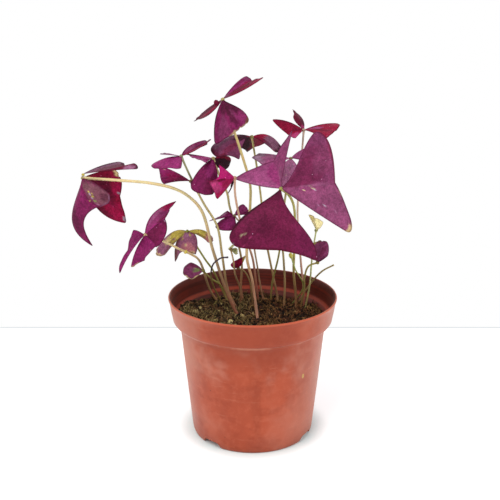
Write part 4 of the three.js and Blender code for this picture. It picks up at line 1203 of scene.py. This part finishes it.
def stalk_tree():
    """A round stalk along a curve: flared at the soil, slimmer above, with sparse fine hairs."""
    tree, n, given = new_tree("stalk", {
        "Course": "Geometry", "Radius": "Float", "Foot Flare": "Float", "Foot Tone": "Color",
        "Tip Tone": "Color", "Turns From": "Float", "Turns To": "Float", "Hair Density": "Float",
        "Hair Length": "Float", "Seed": "Int", "Skin": "Material",
    })
    spline = n.add("GeometryNodeSplineParameter").outputs
    flare = n.ramp(spline["Factor"], 0.0, 0.14, given["Foot Flare"], 1.0)
    swell = n.ramp(spline["Factor"], 0.975, 1.0, 0.0, 0.22)
    slim = n.ramp(spline["Factor"], 0.0, 1.0, 1.0, 0.86, smooth=False)
    ripple = n.noise(n.first("GeometryNodeInputPosition"), 120.0, 1.0)
    uneven = n.ramp(ripple, 0.3, 0.7, 0.96, 1.04)
    scale = n.times(n.times(n.math("ADD", slim, swell), flare), uneven)
    radius = n.times(given["Radius"], scale)
    tip_share = n.ramp(spline["Factor"], given["Turns From"], given["Turns To"])
    tone_here = n.blend(tip_share, given["Foot Tone"], given["Tip Tone"])

    marked = n.stored(given["Course"], "tone", tone_here, kind="FLOAT_COLOR")
    marked = n.stored(marked, "run", n.times(spline["Length"], 8.0))
    ring = n.first("GeometryNodeCurvePrimitiveCircle", {"Resolution": 14, "Radius": 1.0})
    ring = n.stored(ring, "around", spline["Factor"])
    tube = n.first("GeometryNodeCurveToMesh", {
        "Curve": marked, "Profile Curve": ring, "Scale": radius, "Fill Caps": True,
    })
    tube = n.first("GeometryNodeSetShadeSmooth", {"Geometry": tube})

    scatter = n.add("GeometryNodeDistributePointsOnFaces", {
        "Mesh": tube, "Density": given["Hair Density"], "Seed": given["Seed"],
    })
    hair = n.first("GeometryNodeMeshCone", {
        "Vertices": 3, "Radius Top": 0.00001, "Radius Bottom": 0.00006, "Depth": 1.0,
    }, fill_type="NONE")
    lean = n.random_vector((-0.5, -0.5, -0.5), (0.5, 0.5, 0.5), given["Seed"])
    outward = n.vector("ADD", scatter.outputs["Normal"], lean)
    turn = n.first("FunctionNodeAlignRotationToVector", {"Vector": outward}, axis="Z")
    length = n.times(n.random_value(0.5, 1.0, 3), given["Hair Length"])
    hairs = n.first("GeometryNodeInstanceOnPoints", {
        "Points": scatter.outputs["Points"], "Instance": hair, "Rotation": turn,
        "Scale": n.combine(1.0, 1.0, length),
    })
    joined = n.add("GeometryNodeJoinGeometry")
    n.tree.links.new(hairs, joined.inputs[0])
    n.tree.links.new(tube, joined.inputs[0])
    real = n.first("GeometryNodeRealizeInstances", {"Geometry": joined.outputs[0]})
    skinned = n.first("GeometryNodeSetMaterial", {"Geometry": real, "Material": given["Skin"]})
    n.add("NodeGroupOutput", {0: skinned})
    return tree


STALK_TREE = stalk_tree()


def stalk_piece(stalk, seed, slot, skin):
    """One stalk with its hairs, standing in the soil."""
    course = stalk_course(stalk)
    line = bpy.data.curves.new("course", "CURVE")
    line.dimensions = "3D"
    spline = line.splines.new("POLY")
    spline.points.add(len(course) - 1)
    for point, place in zip(spline.points, course):
        point.co = (*(place * MM), 1.0)
    turns_from, turns_to = stalk.get("turns", TONE_TURNS)
    piece = baked("stem_" + stalk["name"], placed("course", line), STALK_TREE, {
        **HAIRY_FORM, "Radius": stalk["radius"] * MM, "Turns From": turns_from, "Turns To": turns_to,
        "Foot Tone": tone(stalk["skin"][0]), "Tip Tone": tone(stalk["skin"][1]), "Seed": seed, "Skin": skin,
    })
    hand_over(piece, slot, "stalk_" + stalk["name"])


def bud_piece(stalk):
    """The small closed flower bud at the end of a stalk."""
    bud = stalk["bud"]
    tip, before = (np.array(stalk["stalk"][place], float) for place in (-1, -2))
    axis = unit(tip - before)
    knob, faces = knob_shell((0, 0, 0), axis, bud["radius"])
    stretch = bud["length"] / (2 * bud["radius"]) / 0.8 - 1
    points = [np.array(p) + axis * np.dot(p, axis) * stretch for p in knob]
    points = [tuple(tip + axis * bud["length"] * 0.3 + p) for p in points]
    piece = piece_from("flower_bud", points, faces, STALK_SKIN)
    paint(piece.data, [tone(bud["tone"])] * len(points))
    hand_over(piece, stalk["slot"])


# ---------------------------------------------------------------- Pot

POT_TURNS = 192
POT_OUTLINE = [
    (0, 0), (13, 0), (13.6, 0.5), (14.2, 2.8), (14.8, 3.4), (35.4, 3.4), (35.9, 2.9), (36.0, 0.3),
    (36.3, 0), (37.0, 0), (37.7, 0.5), (38.2, 1.5), (38.6, 3.6), (39.0, 7), (42, 37), (45.2, 69.5),
    (45.5, 71.8), (46.2, 72.9), (47.6, 73.6), (49.0, 74.4), (49.8, 75.6), (50.1, 77.4), (50.8, 81),
    (51.6, 86), (52.0, 88.3), (52.45, 89.0), (52.5, 89.5), (52.3, 89.9), (51.95, 90), (51.5, 89.85),
    (51.2, 89.3), (50.4, 84.5), (49.3, 79.6), (48.8, 78.3), (47.6, 77.3), (45.4, 75.6), (44.6, 74.7),
    (44.2, 73.4), (43.9, 70), (40.6, 38), (37.7, 6.0), (37.2, 4.8), (36.4, 4.6), (0, 4.6),
]
LONGEST_RUN = 6
SHARP_EDGE = math.radians(50)
DRAIN_HOLES = {"count": 6, "radius": 4, "pitch_radius": 27, "depth": 18}
FOOT_NOTCHES = {
    "bearings": (-42, 62, 138, 242), "height": 3.8, "width": 17, "slope": 3.5, "reaches": (33.0, 42.0),
}


def bearing(degrees):
    """A direction round the pot, in degrees from the front towards the right."""
    return math.radians(degrees - 90)


def on_circle(radius, angle, height=0):
    return (radius * math.cos(angle), radius * math.sin(angle), height)


def spokes(turns):
    """The angles of evenly spaced spokes round the pot's axis."""
    return [2 * math.pi * spoke / turns for spoke in range(turns)]


def subdivided(outline, longest):
    """The outline with its long straight runs split."""
    found = [outline[0]]
    for start, end in zip(outline, outline[1:]):
        runs = max(1, math.ceil(math.dist(start, end) / longest))
        for step in range(1, runs + 1):
            found.append(tuple(a + (b - a) * step / runs for a, b in zip(start, end)))
    return found


def turned_shape(name, outline, turns):
    """A closed shape turned on the pot's axis, from a profile that starts and ends on the axis."""
    profile = outline[1:-1]
    points = [(0, 0, outline[0][1]), (0, 0, outline[-1][1])]
    for radius, height in profile:
        points.extend(on_circle(radius, angle, height) for angle in spokes(turns))

    def at(ring, spoke):
        return 2 + ring * turns + spoke % turns

    faces = []
    last = len(profile) - 1
    for spoke in range(turns):
        faces.append((0, at(0, spoke + 1), at(0, spoke)))
        faces.append((1, at(last, spoke), at(last, spoke + 1)))
        for ring in range(last):
            upper = (at(ring + 1, spoke + 1), at(ring + 1, spoke))
            faces.append((at(ring, spoke), at(ring, spoke + 1), *upper))
    return piece_from(name, points, faces)


def notch_section():
    """The outline of a foot notch: a flat arch with sloping sides and rounded corners."""
    height, width, slope = (FOOT_NOTCHES[key] for key in ("height", "width", "slope"))
    half, top = width / 2, width / 2 - slope
    section = [(-half, -1.0), (half, -1.0)]
    for side in (1, -1):
        corner = [
            (side * (top + 0.9 * slope / height), height - 0.9), (side * (top + 0.15), height - 0.2),
            (side * (top - 0.7), height),
        ]
        section.extend(corner if side == 1 else corner[::-1])
    return section


def pot_cutters():
    """One object of all that is cut from the pot: drain holes and the notches through its foot."""
    mesh = bmesh.new()
    count, radius = DRAIN_HOLES["count"], DRAIN_HOLES["radius"]
    for index in range(count):
        made = bmesh.ops.create_cone(
            mesh, cap_ends=True, segments=32, radius1=radius, radius2=radius, depth=DRAIN_HOLES["depth"],
        )
        outward = Vector(on_circle(1, bearing((360 / count) * (index + 0.5))))
        bmesh.ops.translate(mesh, verts=made["verts"], vec=outward * DRAIN_HOLES["pitch_radius"])
    section = notch_section()
    for degrees in FOOT_NOTCHES["bearings"]:
        turn = bearing(degrees)
        outward = Vector(on_circle(1, turn))
        beside = Vector((-math.sin(turn), math.cos(turn), 0))
        ends = []
        for reach in FOOT_NOTCHES["reaches"]:
            foot = outward * reach
            ends.append([mesh.verts.new(foot + beside * x + Vector((0, 0, z))) for x, z in section])
        mesh.faces.new(ends[0])
        mesh.faces.new(ends[1][::-1])
        for here, following in zip(range(len(section)), [*range(1, len(section)), 0]):
            mesh.faces.new((ends[0][following], ends[0][here], ends[1][here], ends[1][following]))
    bmesh.ops.scale(mesh, verts=mesh.verts, vec=(MM, MM, MM))
    bmesh.ops.recalc_face_normals(mesh, faces=mesh.faces)
    data = bpy.data.meshes.new("cutters")
    mesh.to_mesh(data)
    mesh.free()
    return placed("cutters", data)


def pot_piece():
    """The nursery pot: a moulded wall with a stepped rim, a foot ring with notches and drain holes."""
    blank = turned_shape("blank", subdivided(POT_OUTLINE, LONGEST_RUN), POT_TURNS)
    cutters = pot_cutters()
    cut = blank.modifiers.new("cut", "BOOLEAN")
    cut.operation, cut.solver, cut.object = "DIFFERENCE", "EXACT", cutters
    mesh = shaped_mesh("nursery_pot", blank)
    for gone in (blank, cutters):
        bpy.data.objects.remove(gone)
    mesh.materials.clear()
    mesh.materials.append(pot_finish())
    mesh.shade_smooth()
    mesh.set_sharp_from_angle(angle=SHARP_EDGE)
    hand_over(placed("nursery_pot", mesh), "pot_plastic", "pot")


# ---------------------------------------------------------------- Compost

SOIL_LEVEL = 69
SOIL_TURNS = 168
SOIL_RINGS = 56
SOIL_BOTTOM = 4.9
SOIL_SIDE_STEPS = 6
SOIL_SIDE_LEVELS = (SOIL_LEVEL - 6, SOIL_LEVEL / 2, SOIL_BOTTOM + 0.6, SOIL_BOTTOM)
SOIL_BEVEL = 0.8
# Height and radius of the wall and its ledge above the soil's side.
WALL_OVER_SOIL = [
    (69, 43.8), (73.4, 44.2), (74.7, 44.6), (75.6, 45.4), (77.3, 47.6), (78.3, 48.6), (80, 49.2),
]


def soil_height(x, y):
    """Height of the compost: banked up at the wall, highest at the back left, with low crumbs."""
    slope = -0.02 * x
    near_wall = min(1.0, math.hypot(x, y) / 43)
    heaped = 2.2 * near_wall ** 6 * min(1.0, max(0.0, (28 - y) / 14))
    banked = 1.4 + 3.4 * near_wall ** 2 + heaped
    crumbs = 0.7 * math.sin(0.31 * x + 1.2) * math.cos(0.27 * y) + 0.5 * math.sin(0.53 * y - 0.4 * x)
    return SOIL_LEVEL + 0.6 + slope + banked + crumbs


def fine_soil_height(x, y):
    """The compost's height with its fine crumbs."""
    place = Vector((x, y, 0))
    fine = noise.fractal(place * 0.45, 0.9, 2.1, 4) * 0.9
    lumps = max(0.0, noise.noise(place * 0.42 + Vector((7, 3, 1)))) * 2.2
    return soil_height(x, y) + fine + lumps - 0.3


def soil_radius(height):
    """Radius of the soil against the tapering wall, less a small gap."""
    return 37.6 + 6.3 * (height - 5.4) / 64.6 - 0.4


def wall_radius(height):
    """Radius of the wall or its ledge at a height above the soil's side."""
    return float(np.interp(height, *zip(*WALL_OVER_SOIL)))


def soil_edge(turn):
    """Radius at which the compost's top meets the wall or the ledge under the rim."""
    radius = 44.0
    for _ in range(4):
        height = fine_soil_height(radius * math.cos(turn), radius * math.sin(turn))
        radius = wall_radius(height) + 0.15
    return radius


def soil_top(edges, rings):
    """Points of the compost's top: its middle, then rings out to the edges."""
    points = [(0, 0, fine_soil_height(0, 0))]
    for ring in range(1, rings + 1):
        for edge, turn in zip(edges, spokes(len(edges))):
            x, y, _ = on_circle(edge * ring / rings, turn)
            points.append((x, y, fine_soil_height(x, y)))
    return points


def ring_point(turns, ring, spoke):
    """The number of a point in rings that follow one middle point."""
    return 1 + ring * turns + spoke % turns


def middle_face(turns, spoke):
    """The face between the middle and the first ring, from a spoke to the next."""
    return (0, ring_point(turns, 0, spoke), ring_point(turns, 0, spoke + 1))


def ring_face(turns, ring, spoke):
    """The face between a ring and the next, from a spoke to the next."""
    corners = ((ring, spoke), (ring + 1, spoke), (ring + 1, spoke + 1), (ring, spoke + 1))
    return tuple(ring_point(turns, *corner) for corner in corners)


def compost_piece():
    """The whole body of compost, from the pot's floor to its crumbly top."""
    turns = spokes(SOIL_TURNS)
    points = soil_top([soil_edge(turn) for turn in turns], SOIL_RINGS)
    tops = [top for _, _, top in points[-SOIL_TURNS:]]
    for step in range(1, SOIL_SIDE_STEPS + 1):
        for turn, top in zip(turns, tops):
            height = top + (SOIL_LEVEL - top) * step / SOIL_SIDE_STEPS
            points.append(on_circle(wall_radius(height), turn, height))
    for height in SOIL_SIDE_LEVELS:
        radius = soil_radius(height) - (SOIL_BEVEL if height == SOIL_BOTTOM else 0)
        points.extend(on_circle(radius, turn, height) for turn in turns)
    points.append((0, 0, SOIL_BOTTOM))

    last = SOIL_RINGS + SOIL_SIDE_STEPS + len(SOIL_SIDE_LEVELS) - 1
    faces = []
    for spoke in range(SOIL_TURNS):
        faces.append(middle_face(SOIL_TURNS, spoke))
        faces.extend(ring_face(SOIL_TURNS, ring, spoke) for ring in range(last))
        here, beside = (ring_point(SOIL_TURNS, last, place) for place in (spoke, spoke + 1))
        faces.append((here, len(points) - 1, beside))
    hand_over(piece_from("compost_bed", points, faces, compost_finish()), "compost", "soil")


# ---------------------------------------------------------------- Litter

GROUND_RINGS = 40
GROUND_TURNS = 120
WALL_CLEARANCE = 1.0
HALF_TURN = 3.14


def litter_tree(shape):
    """Bits strewn on the compost: each is a turned, stretched and dented copy of one small shape."""
    tree, n, given = new_tree("litter", {
        "Ground": "Geometry", "Spacing": "Float", "Density": "Float", "Patch Size": "Float",
        "Patch Cover": "Float", "Smallest": "Vector", "Largest": "Vector", "Dents": "Float",
        "Lean": "Float", "Lift": "Float", "Seed": "Int", "Finish": "Material",
    })
    place = n.first("GeometryNodeInputPosition")
    cover = n.noise(place, given["Patch Size"], 2.0)
    scatter = n.add("GeometryNodeDistributePointsOnFaces", {
        "Mesh": given["Ground"], "Distance Min": given["Spacing"], "Density Max": given["Density"],
        "Density Factor": n.math("LESS_THAN", cover, given["Patch Cover"]), "Seed": given["Seed"],
    }, distribute_method="POISSON")
    spin = n.random_vector((-HALF_TURN,) * 3, (HALF_TURN,) * 3, given["Seed"])
    tilts = [n.times(n.part(spin, axis), given["Lean"]) for axis in (0, 1)]
    turn = n.first("FunctionNodeEulerToRotation", {0: n.combine(*tilts, n.part(spin, 2))})
    next_seed = n.math("ADD", given["Seed"], 5.0)
    size = n.random_vector(given["Smallest"], given["Largest"], next_seed)
    bits = n.first("GeometryNodeInstanceOnPoints", {
        "Points": scatter.outputs["Points"], "Instance": shape(n), "Rotation": turn, "Scale": size,
    })
    bits = n.stored(bits, "lot", n.random_value(0.0, 1.0, next_seed), domain="INSTANCE")
    real = n.first("GeometryNodeRealizeInstances", {"Geometry": bits})
    wobble = n.add("ShaderNodeTexNoise", {"Vector": place, "Scale": 1400.0, "Detail": 1.0}).outputs[1]
    dent = n.vector("MULTIPLY", n.vector("SUBTRACT", wobble, (0.5, 0.5, 0.5)), given["Dents"])
    offset = n.vector("ADD", dent, n.combine(0.0, 0.0, given["Lift"]))
    real = n.first("GeometryNodeSetPosition", {"Geometry": real, "Offset": offset})
    real = n.first("GeometryNodeSetShadeSmooth", {"Geometry": real})
    finished = n.first("GeometryNodeSetMaterial", {"Geometry": real, "Material": given["Finish"]})
    n.add("NodeGroupOutput", {0: finished})
    return tree


def lump(n):
    return n.first("GeometryNodeMeshIcoSphere", {"Radius": 0.5, "Subdivisions": 2})


def spike(n):
    inputs = {"Vertices": 4, "Side Segments": 2, "Radius Top": 0.05, "Radius Bottom": 0.5, "Depth": 1.0}
    return n.first("GeometryNodeMeshCone", inputs)


def sliver(n):
    return n.first("GeometryNodeMeshCube", {"Size": (1, 1, 1), 1: 4, 2: 2, 3: 2})


def curl(n):
    """A thin fibre bent into part of a ring."""
    arc = n.add("GeometryNodeCurveArc", {"Resolution": 9, "Radius": 0.5, "Sweep Angle": 2.6}, mode="RADIUS")
    ring = n.first("GeometryNodeCurvePrimitiveCircle", {"Resolution": 4, "Radius": 0.05})
    inputs = {"Curve": arc.outputs[0], "Profile Curve": ring, "Fill Caps": True}
    return n.first("GeometryNodeCurveToMesh", inputs)


def litter_ground():
    """The part of the compost's top that bits lie on, clear of the wall."""
    points = soil_top([soil_edge(turn) - WALL_CLEARANCE for turn in spokes(GROUND_TURNS)], GROUND_RINGS)
    faces = [middle_face(GROUND_TURNS, spoke) for spoke in range(GROUND_TURNS)]
    for ring in range(GROUND_RINGS - 1):
        faces.extend(ring_face(GROUND_TURNS, ring, spoke) for spoke in range(GROUND_TURNS))
    return piece_from("ground", points, faces)


# Spacing, smallest, largest, dents and lift are in metres, and density is in bits to the square metre.
LITTER = [
    {
        "name": "compost_crumbs", "shape": lump,
        "tones": ("#0e0906", "#2c1b0d", "#5a3a22", "#86643f", "#170f09"),
        "Spacing": 0.0011, "Density": 500000.0, "Patch Size": 200.0, "Patch Cover": 0.6,
        "Smallest": (0.0007, 0.0006, 0.0005), "Largest": (0.0036, 0.003, 0.0026), "Dents": 0.0018,
        "Lean": 1.0, "Lift": 0.0002, "Seed": 3,
    },
    {
        "name": "moss_tufts", "shape": spike,
        "tones": ("#23180c", "#5e4628", "#94804c", "#2f2012", "#c0a670", "#4a3c1b"),
        "Spacing": 0.0005, "Density": 2000000.0, "Patch Size": 130.0, "Patch Cover": 0.46,
        "Smallest": (0.0003, 0.0003, 0.001), "Largest": (0.0008, 0.0007, 0.0036), "Dents": 0.0008,
        "Lean": 0.3, "Lift": 0.0006, "Seed": 11,
    },
    {
        "name": "bark_chips", "shape": sliver,
        "tones": ("#54401f", "#8f7d46", "#3e2b19", "#c9b377", "#2b1d14"),
        "Spacing": 0.003, "Density": 60000.0, "Patch Size": 150.0, "Patch Cover": 0.5,
        "Smallest": (0.0008, 0.0005, 0.0003), "Largest": (0.0048, 0.0024, 0.0014), "Dents": 0.0024,
        "Lean": 0.3, "Lift": 0.0007, "Seed": 23,
    },
    {
        "name": "curled_fibres", "shape": curl,
        "tones": ("#c2a46c", "#8d7443", "#5a4428", "#a98f5c"),
        "Spacing": 0.003, "Density": 70000.0, "Patch Size": 120.0, "Patch Cover": 0.62,
        "Smallest": (0.0025, 0.0025, 0.0025), "Largest": (0.0065, 0.005, 0.006), "Dents": 0.0008,
        "Lean": 0.35, "Lift": 0.0006, "Seed": 37,
    },
]


def litter_piece(litter):
    """One kind of bits on the compost."""
    settings = {key: value for key, value in litter.items() if key[0].isupper()}
    settings["Finish"] = litter_finish(litter["name"] + "_finish", litter["tones"])
    hand_over(baked(litter["name"], litter_ground(), litter_tree(litter["shape"]), settings), "compost")


# ---------------------------------------------------------------- Assembly

pot_piece()
compost_piece()
for kind in LITTER:
    litter_piece(kind)
for number, grown in enumerate(LEAVES):
    leaf_piece(grown, 1.0 + 2.3 * number)
    stalk_piece(grown, 100 + number, "stalk", STALK_SKIN)
for number, stalk in enumerate(LEAFLESS_STALKS):
    dry = stalk["slot"] in ("dry_stalk", "dark_stalk")
    stalk_piece(stalk, 200 + number, stalk["slot"], DRY_STALK_SKIN if dry else STALK_SKIN)
    if "bud" in stalk:
        bud_piece(stalk)


# ---------------------------------------------------------------- Stage, light and camera

# The table top is in millimetres: its half width, and how near and how far it reaches.
TABLE_HALF_WIDTH = 900
TABLE_NEAR = -900
TABLE_FAR = 169


def stage_floor():
    """A plain pale table top whose far edge is the horizon, marked by a painted line of shade, with a
    painted cool contact shadow at the pot's foot.
    """
    corners = ((-1, TABLE_NEAR), (1, TABLE_NEAR), (1, TABLE_FAR), (-1, TABLE_FAR))
    points = [(side * TABLE_HALF_WIDTH, depth, 0) for side, depth in corners]
    material, n, shader = new_finish(
        "pale_table", Roughness=0.6, Specular_IOR_Level=0.2, Emission_Color=(0.98, 0.99, 1.0, 1.0),
    )
    place = n.object_place()
    reach = n.measure("LENGTH", place)
    colour = n.blend(n.noise(place, 6.0, 2.0), tone("#f3f4f5"), tone("#f6f7f8"))
    # A painted grey line of shade along the table's far edge.
    horizon = n.ramp(n.part(place, 1), 0.1655, 0.1665)
    colour = n.blend(horizon, colour, tone("#a9aeb1"))
    # Painted contact shadow: the table turns cooler and a little darker near the pot's foot.
    colour = n.blend(n.ramp(reach, 0.0375, 0.056, 1.0, 0.0), colour, tone("#e8f4f4"))
    # The table glows a little so that it stays white; the glow is dimmer near the foot, as part of the
    # painted contact shadow.
    connect(n, shader, Base_Color=colour, Emission_Strength=n.ramp(reach, 0.0375, 0.052, 0.04, 0.39))
    piece_from("table_top", points, [(0, 1, 2, 3)], material)


def area_light(name, place, aim, size, power, colour):
    light = bpy.data.lights.new(name, "AREA")
    light.shape = "SQUARE"
    light.size = size
    light.energy = power
    light.color = colour
    lamp = placed(name, light)
    lamp.location = place
    lamp.rotation_euler = (Vector(aim) - Vector(place)).to_track_quat("-Z", "Y").to_euler()


def soft_surround(strength, gloss_share):
    """An even white surround: full as a backdrop, dimmer as light, and between the two in reflections."""
    world = bpy.data.worlds.new("studio")
    world.use_nodes = True
    n = Nodes(world.node_tree)
    path = n.add("ShaderNodeLightPath").outputs
    seen = n.math("MAXIMUM", path["Is Camera Ray"], n.times(path["Is Glossy Ray"], gloss_share))
    background = world.node_tree.nodes["Background"]
    background.inputs["Color"].default_value = (1.0, 1.0, 1.0, 1.0)
    brightness = n.ramp(seen, 0.0, 1.0, strength, 1.0, smooth=False)
    world.node_tree.links.new(brightness, background.inputs["Strength"])
    bpy.context.scene.world = world


stage_floor()
soft_surround(strength=0.62, gloss_share=0.25)
area_light(
    "key_softbox", place=(-0.4, -0.5, 0.95), aim=(0, 0, 0.12), size=0.7, power=6.0,
    colour=(1.0, 0.99, 0.97),
)
area_light(
    "fill_softbox", place=(0.7, -0.5, 0.6), aim=(0, 0, 0.1), size=0.7, power=3.0, colour=(0.97, 0.98, 1.0),
)
bpy.context.scene.view_settings.view_transform = "Standard"

lens = bpy.data.cameras.new("camera")
lens.sensor_width = 36.0
lens.lens = 64.8
camera = placed("camera", lens)
camera.location = (-0.0016, -0.5289, 0.2814)
camera.rotation_euler = (math.radians(72.93), 0.0, 0.0)
bpy.context.scene.camera = camera
